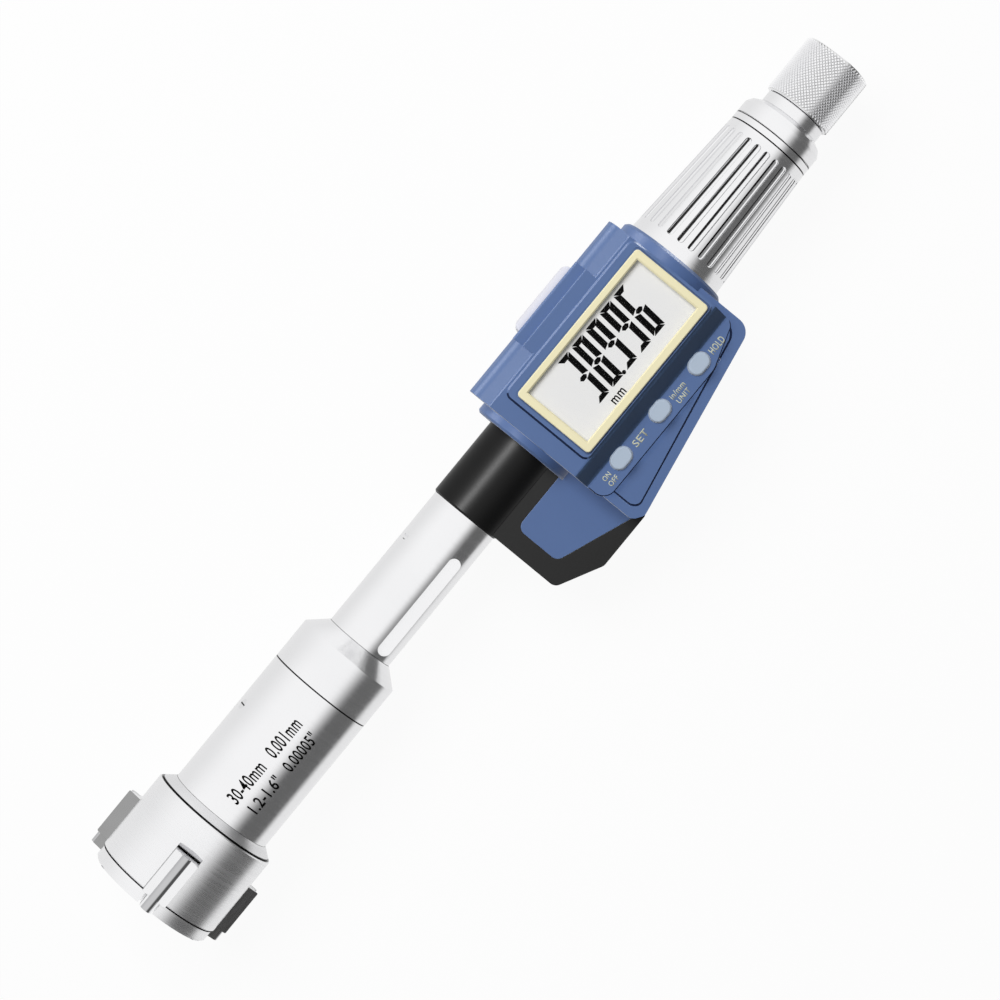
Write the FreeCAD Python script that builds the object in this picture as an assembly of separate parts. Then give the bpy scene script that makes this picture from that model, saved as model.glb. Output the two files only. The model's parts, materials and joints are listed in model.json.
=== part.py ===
import FreeCAD, Part
import math
import os

# Three-point inside micrometer with an electronic display, lying on its back.
# All sizes are in millimetres. +X runs along the tool from the front face of the
# measuring head to the ratchet knob, +Z is the display side, the buttons are
# toward -Y, and the tool's axis is Y = 0, Z = 0.

# Measuring range
smallest_bore = 30.0
largest_bore = 40.0
shown_bore = 38.996
wedge_slope = 0.5
anvil_count = 3
anvil_turn = 2.7

# Clearances
running_gap = 0.05
slot_gap = 0.03
wedge_gap = 0.1
face_gap = 0.1
seam_gap = 0.15

# Measuring head
cap_radius = 14.4
cap_thickness = 3.07
cap_edge = 0.6
cap_floor = 0.9
cap_screw_circle = 12.1
cap_screw_radius = 0.95
cap_screw_head = 1.9
cap_screw_length = 7.4
notch_width = 3.9
notch_floor_radius = 9.4
cap_groove = 0.2
cap_groove_depth = 0.4
head_radius = 14.7
head_edge = 0.35
head_length = 19.03
head_step = 0.6
head_groove = 0.2
head_groove_depth = 0.5
head_bevel = 1.8
chamber_radius = 9.5
chamber_length = 16.4
anvil_slot_length = 11.45
slot_ramp = 0.7
spigot_radius = 8.0
spigot_length = 24.0
spring_room_radius = 5.5
spring_seat = 1.2

# Anvils and their carbide rods
anvil_width = 5.9
anvil_length = 11.0
anvil_front_gap = 0.13
anvil_foot_radius = 1.95
anvil_shoulder = 1.0
anvil_edge = 0.3
nose_width = 3.0
nose_reach = 2.7
nose_drop = 0.3
nose_clear = 0.2
rod_radius = 1.125

# Cone, push rod and its spring
cone_nose = 1.0
cone_radius = 9.3
cone_rim = 1.0
stud_radius = 2.0
stud_length = 5.6
push_rod_radius = 3.0
ball_radius = 1.5
ball_seat = 1.0
rod_collar_radius = 5.0
rod_collar_length = 2.0
rod_collar_place = 46.9
spring_wire = 0.4
spring_coil_radius = 4.3
spring_turns = 6
spring_steps = 14
spring_sides = 8
key_width = 1.1
key_depth = 0.8

# Body, shoulder collar and neck tube
body_radius = 11.83
body_length = 32.8
joint_groove = 0.16
joint_groove_depth = 0.4
shoulder_length = 9.35
shoulder_cone = 3.61
shoulder_spigot = 6.45
shoulder_spigot_length = 4.7
shoulder_seat = 9.7
shoulder_bore_gap = 0.3
neck_radius = 7.82
neck_length = 34.54
neck_end_radius = 6.2
neck_tail_radius = 6.0
neck_slot_start = 0.94
neck_slot_length = 25.6
neck_slot_width = 2.75
neck_slot_y = -5.0
neck_slot_floor = 4.35
guide_screw_place = 23.64
guide_screw_turn = -59.0
guide_screw_radius = 1.0
guide_screw_stop = 0.4
body_screw_place = 20.6
body_screw_turn = -65.0
body_screw_radius = 1.2
body_screw_stop = 1.0
body_screw_point = 0.4
body_screw_hole_end = 1.5
screw_sink = 0.05
screw_slot_width = 0.3
screw_slot_depth = 0.5
socket_share = 0.55

# Black frame cover with its wing, and the blue inlay
grip_radius = 8.2
grip_length = 18.7
grip_edge = 0.4
wing_back = -7.0
wing_front = 4.0
wing_left = 0.4
wing_corner_y = -24.1
wing_slope_end = 10.0
wing_bottom = -29.3
wing_tongue = 7.0
wing_round = 2.0
inlay_left = 4.9
inlay_top = -10.2
inlay_corner_y = -21.0
inlay_margin = 1.1
inlay_depth = 0.8

# Housing
back_plane = -14.7
back_cover_depth = 3.2
back_inset = 0.6
back_edge = 1.2
housing_front = 10.0
left_collar_radius = 11.8
left_collar_length = 2.0
right_collar_radius = 12.8
right_collar_length = 3.1
right_collar_inside = 13.2
housing_top = 14.6
housing_left = 0.7
tip_x = 3.0
tip_y = -29.0
slope_end_y = -21.2
housing_right = 1.6
housing_round = 3.4
housing_corner = 1.6
rim_width = 2.0
rim_groove = 0.35
rim_groove_depth = 0.3
left_collar_edge = 0.5
right_collar_edge = 0.6
lower_left_rise = 1.6
lower_left_round = 2.0
tip_round = 1.6
tip_share = 0.4
encoder_room_radius = 9.2
encoder_room_start = 13.1
thimble_room = 12.8

# Front cover
cover_length = 45.3
cover_top = 15.4
cover_bottom = -20.9
cover_corner = 3.0
cover_right_y = -17.6
cover_front = 16.0
cover_skirt = 7.5
cover_low_share = 0.78
cover_low_round = 4.0
cover_right_round = 2.0
slope_round = 1.2
panel_front = 12.5
panel_wall = 1.3
slope_start_y = -12.9
slope_foot_y = -15.7
tab_line_y = 10.3
tab_step = 0.35
tab_edge_z = 11.6
tab_side_round = 3.2
tab_side_inset = 1.0
tab_side_drop = 0.9
tab_edge_round = 1.2
left_tab = 13.9
right_tab = 11.0
band_line_y = 12.8
band_ledge_z = 14.3
band_round = 0.3
ledge_round = 0.5
island_front = 16.5
island_left = 3.7
island_top = 9.6
island_bottom = -12.7
island_round = 1.8
bezel_left = 5.1
bezel_length = 39.4
bezel_top = 7.6
bezel_bottom = -12.0
bezel_round = 0.8
opening_round = 0.4
bezel_proud = 0.4
bezel_floor = 15.6
bezel_width = 2.05
window_lap = 1.1
opening_lap = 0.2
window_thickness = 0.6
board_thickness = 0.9
display_board_front = 14.4

# Buttons
button_length = 5.15
button_width = 3.7
button_first = 9.05
button_pitch = 12.63
button_y = -17.6
button_proud = 0.7
button_edge = 0.45
button_lip = 0.45
button_lip_thickness = 0.7
button_travel = 0.5
key_board_back = 8.2
key_room_margin = 1.2
dome_radius = 1.4
dome_top_share = 0.7
dome_gap = 0.15

# Battery, its cover and the data port
battery_x = 13.6
battery_y = -19.0
battery_radius = 5.8
battery_height = 5.4
lid_radius = 6.2
coin_slot_share = 0.75
lid_lug = 0.6
lid_lug_thickness = 0.8
lid_depth = 2.7
lid_lug_width = 4.0
lid_turn = 60.0
coin_slot_width = 1.6
coin_slot_depth = 1.0
port_start = 16.1
port_length = 17.0
port_low = -1.5
port_high = 7.0
port_thickness = 2.6
port_round = 1.6
plug_margin = 2.0
plug_depth = 1.6
contact_depth = 2.4
housing_screw_radius = 0.9
housing_screw_head = 1.7
housing_screw_sink = 0.35
housing_screw_socket = 0.9
housing_screw_inset_x = 3.4
housing_screw_top = 13.0
housing_screw_low_left = -17.9
housing_screw_low_right = -16.6
housing_screw_tip = 11.0

# Spindle, encoder and guide sleeve
spindle_radius = 4.0
spindle_place = 14.3
spindle_key = 0.5
spindle_key_width = 1.0
spindle_room_gap = 0.6
disc_radius = 8.6
disc_thickness = 1.2
disc_place = 3.2
disc_gap = 1.0
sleeve_front = 12.0
sleeve_radius = 8.2
sleeve_neck_radius = 6.0
sleeve_neck_length = 4.6
nut_radius = 7.4
nut_clear = 0.45
nut_edge = 0.3
nut_slot_width = 1.4
nut_slot_length = 1.5
nut_slot_wall = 0.4

# Thimble and ratchet
thimble_radius = 11.35
thimble_end_radius = 9.7
thimble_inside = 11.0
thimble_bore_gap = 0.1
flute_count = 25
flute_start = 2.8
flute_length = 26.3
flute_width = 1.5
flute_depth = 0.6
thimble_edge = 0.3
thimble_end_edge = 0.15
thimble_band = 2.0
thimble_wall = 3.9
cap_ring = 1.7
cap_ring_depth = 0.4
cap_ring_width = 0.2
cap_seat_share = 0.4
dome_start = 2.2
dome_shoulder = 0.9
dome_shoulder_drop = 0.8
cap_dome_radius = 7.3
cap_length = 6.7
ratchet_neck_radius = 7.1
ratchet_neck_length = 2.8
ratchet_neck_edge = 0.2
ratchet_seat_radius = 5.0
ratchet_stem_radius = 3.0
knob_radius = 7.9
knob_length = 13.8
knob_edge = 0.45
knob_recess_radius = 5.2
knob_recess_depth = 6.5
stem_proud = 3.4
knob_spring_wire = 0.35
knob_spring_turns = 3
end_screw_head = 4.4
end_screw_head_thickness = 1.6
end_screw_radius = 1.2
end_screw_length = 6.0
end_screw_edge = 0.3
end_screw_slot = 0.8
end_screw_slot_depth = 0.7

# Stations along the tool, each from the one before it
head_x = cap_thickness
bevel_x = head_x + head_length
body_x = bevel_x + head_bevel
shoulder_x = body_x + body_length
neck_x = shoulder_x + shoulder_length + shoulder_cone
grip_x = neck_x + neck_length
housing_x = grip_x + grip_length
cover_x = housing_x + left_collar_length
cover_end_x = cover_x + cover_length
mouth_x = cover_end_x + right_collar_length
thimble_x = mouth_x - thimble_inside
flute_x = mouth_x + flute_start
thimble_end_x = flute_x + flute_length + thimble_band
cap_end_x = thimble_end_x + cap_length
cap_seat_x = thimble_end_x + cap_length * cap_seat_share
knob_x = cap_end_x + ratchet_neck_length
end_x = knob_x + knob_length

# Positions that follow from the measuring range
anvil_lift = (shown_bore - smallest_bore) / 2
anvil_rise = (largest_bore - shown_bore) / 2
advance = anvil_rise / wedge_slope
retreat = anvil_lift / wedge_slope
anvil_x = head_x + anvil_front_gap
foot_z = anvil_foot_radius + anvil_lift
shoulder_z = smallest_bore / 2 - anvil_shoulder + anvil_lift
tip_z = shown_bore / 2
cone_front_x = anvil_x - cone_nose
cone_front_radius = foot_z - wedge_gap - cone_nose * wedge_slope
cone_rear_x = cone_front_x + (cone_radius - cone_front_radius) / wedge_slope
rod_start_x = cone_rear_x + cone_rim
spring_x = body_x + spring_seat
spindle_x = grip_x + spindle_place
opening_margin = opening_lap - bezel_width
button_z = panel_front + button_proud
lip_front = panel_front - panel_wall - running_gap
lip_back = lip_front - button_lip_thickness
encoder_x = housing_x + encoder_room_start
disc_x = encoder_x + disc_place
sleeve_x = encoder_x + sleeve_front
thimble_room_x = mouth_x - thimble_room
thimble_back_x = thimble_end_x - thimble_wall
axis_x = FreeCAD.Vector(1, 0, 0)
axis_z = FreeCAD.Vector(0, 0, 1)
origin = FreeCAD.Vector(0, 0, 0)


def on_profile(point):
    return FreeCAD.Vector(point.x, 0, point.y)


def on_plan(point):
    return FreeCAD.Vector(point.x, point.y, 0)


def on_section(point):
    return FreeCAD.Vector(0, point.x, point.y)


def outline(corners, place, rounded=True):
    """A closed wire through corners (u, v, size), each rounded or chamfered by its size."""
    starts = []
    middles = []
    ends = []
    count = len(corners)
    for k in range(count):
        corner = FreeCAD.Vector(corners[k][0], corners[k][1], 0)
        before = FreeCAD.Vector(corners[k - 1][0], corners[k - 1][1], 0)
        after = FreeCAD.Vector(corners[(k + 1) % count][0], corners[(k + 1) % count][1], 0)
        back = (before - corner).normalize()
        ahead = (after - corner).normalize()
        half = back.getAngle(ahead) / 2
        radius = corners[k][2]
        setback = radius / math.tan(half)
        inward = radius / math.sin(half) - radius
        starts.append(corner + back * setback)
        ends.append(corner + ahead * setback)
        middles.append(corner + (back + ahead).normalize() * inward if radius else corner)
    edges = []
    for k in range(count):
        following = (k + 1) % count
        if corners[k][2] and rounded:
            edges.append(Part.Arc(place(starts[k]), place(middles[k]), place(ends[k])).toShape())
        elif corners[k][2]:
            edges.append(Part.makeLine(place(starts[k]), place(ends[k])))
        if (starts[following] - ends[k]).Length > 0.000001:
            edges.append(Part.makeLine(place(ends[k]), place(starts[following])))
    return Part.Wire(edges)


def turned(corners):
    """A body of revolution about the tool's axis from (x, radius, chamfer) corners."""
    face = Part.Face(outline(corners, on_profile, False))
    return face.revolve(origin, axis_x, 360)


def plate(corners, low, high):
    """A flat piece with an outline in X and Y, between two heights."""
    face = Part.Face(outline(corners, on_plan))
    face.translate(FreeCAD.Vector(0, 0, low))
    return face.extrude(FreeCAD.Vector(0, 0, high - low))


def bar(corners, start, end):
    """A straight piece with a section in Y and Z, between two stations."""
    face = Part.Face(outline(corners, on_section))
    face.translate(FreeCAD.Vector(start, 0, 0))
    return face.extrude(FreeCAD.Vector(end - start, 0, 0))


def rod(start, end, radius):
    return Part.makeCylinder(radius, end - start, FreeCAD.Vector(start, 0, 0), axis_x)


def post(x, y, low, high, radius):
    return Part.makeCylinder(radius, high - low, FreeCAD.Vector(x, y, low), axis_z)


def block(x_low, x_high, y_low, y_high, z_low, z_high):
    corner = FreeCAD.Vector(x_low, y_low, z_low)
    return Part.makeBox(x_high - x_low, y_high - y_low, z_high - z_low, corner)


def rectangle(x_low, x_high, y_low, y_high, rounding):
    return [
        (x_low, y_low, rounding),
        (x_high, y_low, rounding),
        (x_high, y_high, rounding),
        (x_low, y_high, rounding),
    ]


def pill(x_middle, y_middle, length, width):
    rounding = width / 2 - 0.001
    half = length / 2
    return rectangle(x_middle - half, x_middle + half, y_middle - width / 2, y_middle + width / 2, rounding)


def about_axis(shape, angle):
    return shape.rotated(origin, axis_x, angle)


def anvil_angles():
    return [anvil_turn + 360 / anvil_count * k for k in range(anvil_count)]


def screw_angles():
    return [angle + 180 / anvil_count for angle in anvil_angles()]


def hexagon(radius, x_middle, y_middle):
    angles = [math.radians(60 * k) for k in range(6)]
    return [(x_middle + radius * math.cos(a), y_middle + radius * math.sin(a), 0) for a in angles]


# Measuring head


def end_cap():
    cap = turned([
        (0, 0, 0),
        (0, cap_radius, cap_edge),
        (cap_thickness - cap_groove, cap_radius, 0),
        (cap_thickness - cap_groove, cap_radius - cap_groove_depth, 0),
        (cap_thickness, cap_radius - cap_groove_depth, 0),
        (cap_thickness, 0, 0),
    ])
    recess_radius = cone_front_radius + (advance + cone_nose) * wedge_slope + running_gap
    cap = cap.cut(rod(cap_floor, cap_thickness, recess_radius))
    for angle in anvil_angles():
        half = notch_width / 2
        notch = block(-1, cap_thickness + 1, -half, half, notch_floor_radius, cap_radius + 1)
        cap = cap.cut(about_axis(notch, angle))
    for angle in screw_angles():
        cap = cap.cut(about_axis(cap_screw_form(running_gap), angle))
    return cap


def cap_screw_form(gap):
    """A countersunk screw on the screw circle, or its hole with a gap all round."""
    head = cap_screw_head + gap
    shank = cap_screw_radius + gap
    form = turned([
        (0, 0, 0),
        (0, head, 0),
        (head - shank, shank, 0),
        (cap_screw_length + gap, shank, 0),
        (cap_screw_length + gap, 0, 0),
    ])
    form.translate(FreeCAD.Vector(0, 0, cap_screw_circle))
    return form


def end_cap_screws():
    screws = []
    socket = bar(hexagon(cap_screw_head * socket_share, 0, cap_screw_circle), -1, 1)
    for angle in screw_angles():
        screws.append(about_axis(cap_screw_form(0).cut(socket), angle))
    return Part.Compound(screws)


def head_body():
    spigot_end = body_x + spigot_length
    step_radius = head_radius - head_step
    head = turned([
        (head_x, chamber_radius, 0),
        (head_x, head_radius, head_edge),
        (bevel_x - head_groove, head_radius, head_edge),
        (bevel_x - head_groove, step_radius - head_groove_depth, 0),
        (bevel_x, step_radius - head_groove_depth, 0),
        (bevel_x, step_radius, 0),
        (body_x, body_radius, 0),
        (body_x, spigot_radius, 0),
        (spigot_end, spigot_radius, 0),
        (spigot_end, spring_room_radius, 0),
        (spring_x, spring_room_radius, 0),
        (spring_x, push_rod_radius + running_gap, 0),
        (head_x + chamber_length, push_rod_radius + running_gap, 0),
        (head_x + chamber_length, chamber_radius, 0),
    ])
    slot_half = anvil_width / 2 + slot_gap
    for angle in anvil_angles():
        slot = block(head_x - 1, head_x + anvil_slot_length, -slot_half, slot_half, 0, head_radius + 1)
        slot = slot.fuse(slot_end_ramp(slot_half))
        head = head.cut(about_axis(slot, angle))
    for angle in screw_angles():
        head = head.cut(about_axis(cap_screw_form(0), angle))
    return head.cut(body_screw_hole())


def slot_end_ramp(slot_half):
    """The chamfer at the rear end of an anvil's slot."""
    end = head_x + anvil_slot_length
    outer = head_radius * math.cos(math.asin(slot_half / head_radius))
    section = [
        (end - slot_ramp, outer - slot_ramp, 0),
        (end, outer - slot_ramp, 0),
        (end + 2 * slot_ramp, outer + slot_ramp, 0),
        (end - slot_ramp, outer + slot_ramp, 0),
    ]
    face = Part.Face(outline(section, on_profile))
    face.translate(FreeCAD.Vector(0, -slot_half, 0))
    return face.extrude(FreeCAD.Vector(0, 2 * slot_half, 0))


def anvil_wedge():
    """One anvil at rest, standing up from the axis: foot, shoulder, nose and rod groove."""
    rear = anvil_x + anvil_length
    foot_rear = foot_z + anvil_length * wedge_slope
    section = [
        (anvil_x, foot_z, 0),
        (rear, foot_rear, 0),
        (rear, shoulder_z, anvil_edge),
        (anvil_x, shoulder_z, anvil_edge),
    ]
    face = Part.Face(outline(section, on_profile))
    face.translate(FreeCAD.Vector(0, -anvil_width / 2, 0))
    wedge = face.extrude(FreeCAD.Vector(0, anvil_width, 0))
    nose_foot = notch_floor_radius + nose_clear + anvil_lift
    half = nose_width / 2
    nose = block(anvil_x - nose_reach, anvil_x + 1, -half, half, nose_foot, shoulder_z - nose_drop)
    return wedge.fuse(nose).removeSplitter().cut(rod_form())


def rod_form():
    rear = anvil_x + anvil_length
    form = rod(anvil_x - nose_reach, rear, rod_radius)
    form.translate(FreeCAD.Vector(0, 0, tip_z - rod_radius))
    return form


def measuring_cone():
    cone = turned([
        (cone_front_x, 0, 0),
        (cone_front_x, cone_front_radius, 0),
        (cone_rear_x, cone_radius, 0),
        (rod_start_x, cone_radius, 0),
        (rod_start_x, 0, 0),
    ])
    return cone.cut(rod(rod_start_x - stud_length, rod_start_x, stud_radius))


def push_rod():
    """The rod from the cone to the spindle, with its stud, spring collar, key slot and ball seat."""
    rear = spindle_x - running_gap - 2 * ball_radius + ball_seat
    shaft = turned([
        (rod_start_x - stud_length, 0, 0),
        (rod_start_x - stud_length, stud_radius, 0),
        (rod_start_x, stud_radius, 0),
        (rod_start_x, push_rod_radius, 0),
        (rod_collar_place, push_rod_radius, 0),
        (rod_collar_place, rod_collar_radius, 0),
        (rod_collar_place + rod_collar_length, rod_collar_radius, 0),
        (rod_collar_place + rod_collar_length, push_rod_radius, 0),
        (rear, push_rod_radius, 0),
        (rear, 0, 0),
    ])
    shaft = shaft.cut(rod(rear - ball_seat, rear, ball_radius))
    key_x = neck_x + guide_screw_place
    half = key_width / 2
    key_start = key_x - retreat - key_width
    key_end = key_x + advance + key_width
    key_floor = push_rod_radius - key_depth
    keyway = block(key_start, key_end, -half, half, key_floor, push_rod_radius + 1)
    return shaft.cut(about_axis(keyway, guide_screw_turn))


def coil_spring(start, end, radius, wire, turns):
    """An open coil spring along the axis between two seats."""
    rise = end - start - 2 * wire
    points = []
    for k in range(turns * spring_steps + 1):
        angle = 2 * math.pi * k / spring_steps
        along = start + wire + rise * k / (turns * spring_steps)
        points.append(FreeCAD.Vector(along, radius * math.sin(angle), radius * math.cos(angle)))
    first_run = points[1] - points[0]
    section = Part.Wire(Part.makePolygon(wire_section(points[0], first_run, wire)))
    return Part.makePolygon(points).makePipeShell([section], True, True, 1)


def wire_section(middle, run, wire):
    """The spring wire's section, square to its first run."""
    across = run.cross(axis_x).normalize()
    up = run.cross(across).normalize()
    corners = []
    for k in range(spring_sides + 1):
        angle = 2 * math.pi * k / spring_sides
        corners.append(middle + across * (wire * math.cos(angle)) + up * (wire * math.sin(angle)))
    return corners


def return_spring():
    """The spring that keeps the push rod against the spindle."""
    return coil_spring(spring_x, rod_collar_place, spring_coil_radius, spring_wire, spring_turns)


def thrust_ball():
    middle = spindle_x - running_gap - ball_radius
    return Part.makeSphere(ball_radius, FreeCAD.Vector(middle, 0, 0))


# Body, shoulder collar and neck tube


def set_screw(place, turn, radius, outer, inner, tip_radius, tip):
    """A grub screw that points at the axis, with a driver slot and a dog point."""
    screw = post(place, 0, inner, outer, radius).fuse(post(place, 0, tip, inner, tip_radius))
    half = screw_slot_width / 2
    slot = block(place - half, place + half, -radius, radius, outer - screw_slot_depth, outer + 1)
    return about_axis(screw.cut(slot), turn)


def body_screw_hole():
    inner = spigot_radius - body_screw_hole_end
    hole = post(body_x + body_screw_place, 0, inner, body_radius + 1, body_screw_radius)
    return about_axis(hole, body_screw_turn)


def body_set_screw():
    inner = spigot_radius - body_screw_stop
    return set_screw(
        body_x + body_screw_place,
        body_screw_turn,
        body_screw_radius,
        body_radius - screw_sink,
        inner,
        body_screw_radius - body_screw_point,
        inner - body_screw_point,
    )


def body_sleeve():
    rear_seat = shoulder_x - shoulder_spigot_length
    sleeve = turned([
        (body_x, spigot_radius, 0),
        (body_x, body_radius, 0),
        (shoulder_x - joint_groove, body_radius, 0),
        (shoulder_x - joint_groove, body_radius - joint_groove_depth, 0),
        (shoulder_x, body_radius - joint_groove_depth, 0),
        (shoulder_x, shoulder_spigot, 0),
        (rear_seat, shoulder_spigot, 0),
        (body_x + spigot_length, shoulder_spigot, 0),
        (body_x + spigot_length, spigot_radius, 0),
    ])
    return sleeve.cut(body_screw_hole())


def shoulder_collar():
    """The union nut with the cone that joins the body to the neck tube."""
    cone_x = shoulder_x + shoulder_length
    seat_x = neck_x - shoulder_seat
    bore = rod_collar_radius + shoulder_bore_gap
    return turned([
        (shoulder_x - shoulder_spigot_length, bore, 0),
        (shoulder_x - shoulder_spigot_length, shoulder_spigot, 0),
        (shoulder_x, shoulder_spigot, 0),
        (shoulder_x, body_radius, 0),
        (cone_x, body_radius, 0),
        (neck_x, neck_radius, 0),
        (neck_x, neck_end_radius, 0),
        (seat_x, neck_end_radius, 0),
        (seat_x, bore, 0),
    ])


def neck_tube():
    seat_x = neck_x - shoulder_seat
    bore = push_rod_radius + running_gap
    wide_bore = spindle_radius + running_gap
    wide_x = spindle_x - advance - 2 * ball_radius
    tail_x = cover_x + left_collar_length
    tube = turned([
        (seat_x, bore, 0),
        (seat_x, neck_end_radius, 0),
        (neck_x, neck_end_radius, 0),
        (neck_x, neck_radius, 0),
        (grip_x, neck_radius, 0),
        (grip_x, neck_tail_radius, 0),
        (tail_x, neck_tail_radius, 0),
        (tail_x, wide_bore, 0),
        (wide_x, wide_bore, 0),
        (wide_x, bore, 0),
    ])
    middle = neck_x + neck_slot_start + neck_slot_length / 2
    slot = pill(middle, neck_slot_y, neck_slot_length, neck_slot_width)
    tube = tube.cut(plate(slot, neck_slot_floor, neck_radius + 1))
    return tube.cut(guide_screw_form(0))


def guide_screw_form(socket):
    """The grub screw whose point runs in the rod's key slot; it keeps the rod from turning."""
    place = neck_x + guide_screw_place
    outer = neck_radius - screw_sink if socket else neck_radius + 1
    tip = push_rod_radius - key_depth + running_gap
    point = key_width / 2 - running_gap
    inner = push_rod_radius + guide_screw_stop
    if socket:
        return set_screw(place, guide_screw_turn, guide_screw_radius, outer, inner, point, tip)
    hole = post(place, 0, inner, outer, guide_screw_radius)
    return about_axis(hole.fuse(post(place, 0, 0, outer, point)), guide_screw_turn)


def neck_guide_screw():
    return guide_screw_form(1)


# Black frame cover and blue inlay


def wing_plan():
    left = grip_x + wing_left
    tongue = cover_x + wing_tongue
    return [
        (left, 0, 0),
        (left, wing_corner_y, wing_round),
        (left + wing_slope_end, wing_bottom, wing_round),
        (cover_x + tip_x, wing_bottom, 0),
        (tongue, housing_low_y(tongue) + back_inset, 0),
        (tongue, 0, 0),
    ]


def housing_low_y(x):
    """The height of the housing's sloping lower edge at a station."""
    run = cover_end_x + housing_right - cover_x - tip_x
    return tip_y + (x - cover_x - tip_x) * (slope_end_y - tip_y) / run


def inlay_plan(margin):
    left = grip_x + inlay_left - margin
    tongue = cover_x + wing_tongue
    low = cover_x + tip_x
    return [
        (left, inlay_top + margin, wing_round),
        (left, inlay_corner_y - margin, wing_round),
        (low, wing_bottom + inlay_margin - margin, wing_round),
        (tongue, housing_low_y(tongue) + inlay_margin + back_inset - margin, 0),
        (tongue, inlay_top + margin, 0),
    ]


def frame_cover():
    """The moulded black cover: the grip sleeve and the wing plate as one piece."""
    sleeve_end = cover_x + left_collar_length
    wing = plate(wing_plan(), wing_back, wing_front)
    wing = wing.cut(rod(housing_x, cover_end_x, left_collar_radius))
    sleeve = turned([
        (grip_x, neck_tail_radius, 0),
        (grip_x, grip_radius, grip_edge),
        (sleeve_end, grip_radius, 0),
        (sleeve_end, neck_tail_radius, 0),
    ])
    cover = sleeve.fuse(wing.cut(rod(grip_x, sleeve_end, grip_radius))).removeSplitter()
    pocket = plate(inlay_plan(0), wing_front - inlay_depth, wing_front)
    cover = cover.cut(pocket)
    x, y = housing_screw_places()[2]
    return cover.cut(post(x, y, wing_back, wing_front, housing_screw_radius))


def side_inlay():
    inlay = plate(inlay_plan(0), wing_front - inlay_depth, wing_front)
    inlay = inlay.cut(rod(housing_x, cover_end_x, left_collar_radius))
    x, y = housing_screw_places()[2]
    return inlay.cut(post(x, y, wing_back, wing_front, housing_screw_radius))


# Housing


def housing_plan(inset):
    left = cover_x + housing_left + inset
    right = cover_end_x + housing_right - inset
    low_left = tip_y + inset
    low_right = slope_end_y + inset
    return [
        (left, housing_top - inset, housing_corner),
        (left, low_left + lower_left_rise, lower_left_round),
        (cover_x + tip_x + inset * tip_share, low_left, tip_round),
        (right, low_right, housing_round),
        (right, 0, 0),
        (cover_end_x - inset, 0, 0),
        (cover_end_x - inset, housing_top - inset, housing_corner),
    ]


def housing_screw_places():
    left = cover_x + housing_screw_inset_x
    right = cover_end_x - housing_screw_inset_x
    return [
        (left, housing_screw_top),
        (right, housing_screw_top),
        (left, housing_screw_low_left),
        (right, housing_screw_low_right),
    ]


def housing_bore():
    """Everything that is bored along the axis of the housing, as one cutter."""
    spindle_room = spindle_radius + spindle_room_gap
    return turned([
        (housing_x - 1, 0, 0),
        (housing_x - 1, grip_radius, 0),
        (cover_x + left_collar_length, grip_radius, 0),
        (cover_x + left_collar_length, spindle_room, 0),
        (encoder_x, spindle_room, 0),
        (encoder_x, encoder_room_radius, 0),
        (thimble_room_x, encoder_room_radius, 0),
        (thimble_room_x, thimble_radius + seam_gap, 0),
        (mouth_x + 1, thimble_radius + seam_gap, 0),
        (mouth_x + 1, 0, 0),
    ])


def main_housing():
    back = back_plane + back_cover_depth
    housing = plate(housing_plan(0), back, housing_front)
    groove = plate(housing_plan(rim_width), housing_front - rim_groove_depth, housing_front)
    groove = groove.cut(plate(housing_plan(rim_width + rim_groove), back, housing_front))
    housing = housing.cut(groove)
    left_collar = turned([
        (housing_x, 0, 0),
        (housing_x, left_collar_radius, left_collar_edge),
        (thimble_room_x, left_collar_radius, 0),
        (thimble_room_x, 0, 0),
    ])
    right_collar = turned([
        (mouth_x - right_collar_inside, 0, 0),
        (mouth_x - right_collar_inside, right_collar_radius, 0),
        (mouth_x, right_collar_radius, right_collar_edge),
        (mouth_x, 0, 0),
    ])
    housing = housing.fuse(left_collar).fuse(right_collar).cut(housing_bore())
    tongue = plate(wing_plan(), wing_back, wing_front)
    housing = housing.cut(tongue.cut(rod(housing_x, cover_end_x, left_collar_radius)))
    housing = housing.cut(battery_well()).cut(port_room()).cut(key_room())
    for x, y in housing_screw_places():
        housing = housing.cut(post(x, y, back - 1, housing_front + 1, housing_screw_radius))
    return housing


def back_cover():
    """The shallow cover that the tool lies on, with the battery lid's hole."""
    high = back_plane + back_cover_depth
    cover = plate(housing_plan(back_inset), back_plane, high)
    rim = [edge for edge in cover.Edges if edge.BoundBox.ZMax < back_plane + 0.01]
    cover = cover.makeChamfer(back_edge, rim)
    cover = cover.cut(rod(housing_x, thimble_room_x, left_collar_radius))
    cover = cover.cut(rod(mouth_x - right_collar_inside, mouth_x, right_collar_radius))
    x = cover_x + battery_x
    lid_top = back_plane + lid_depth
    lug_low = lid_top - lid_lug_thickness - face_gap
    cover = cover.cut(post(x, battery_y, back_plane, high, lid_radius + running_gap))
    cover = cover.cut(post(x, battery_y, lug_low, high, lid_radius + lid_lug + running_gap))
    notches = lug_form(seam_gap, back_plane, high)
    cover = cover.cut(notches.rotated(FreeCAD.Vector(x, battery_y, 0), axis_z, -lid_turn))
    for x, y in housing_screw_places():
        cover = cover.cut(housing_screw(x, y, 0))
    return cover


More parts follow.
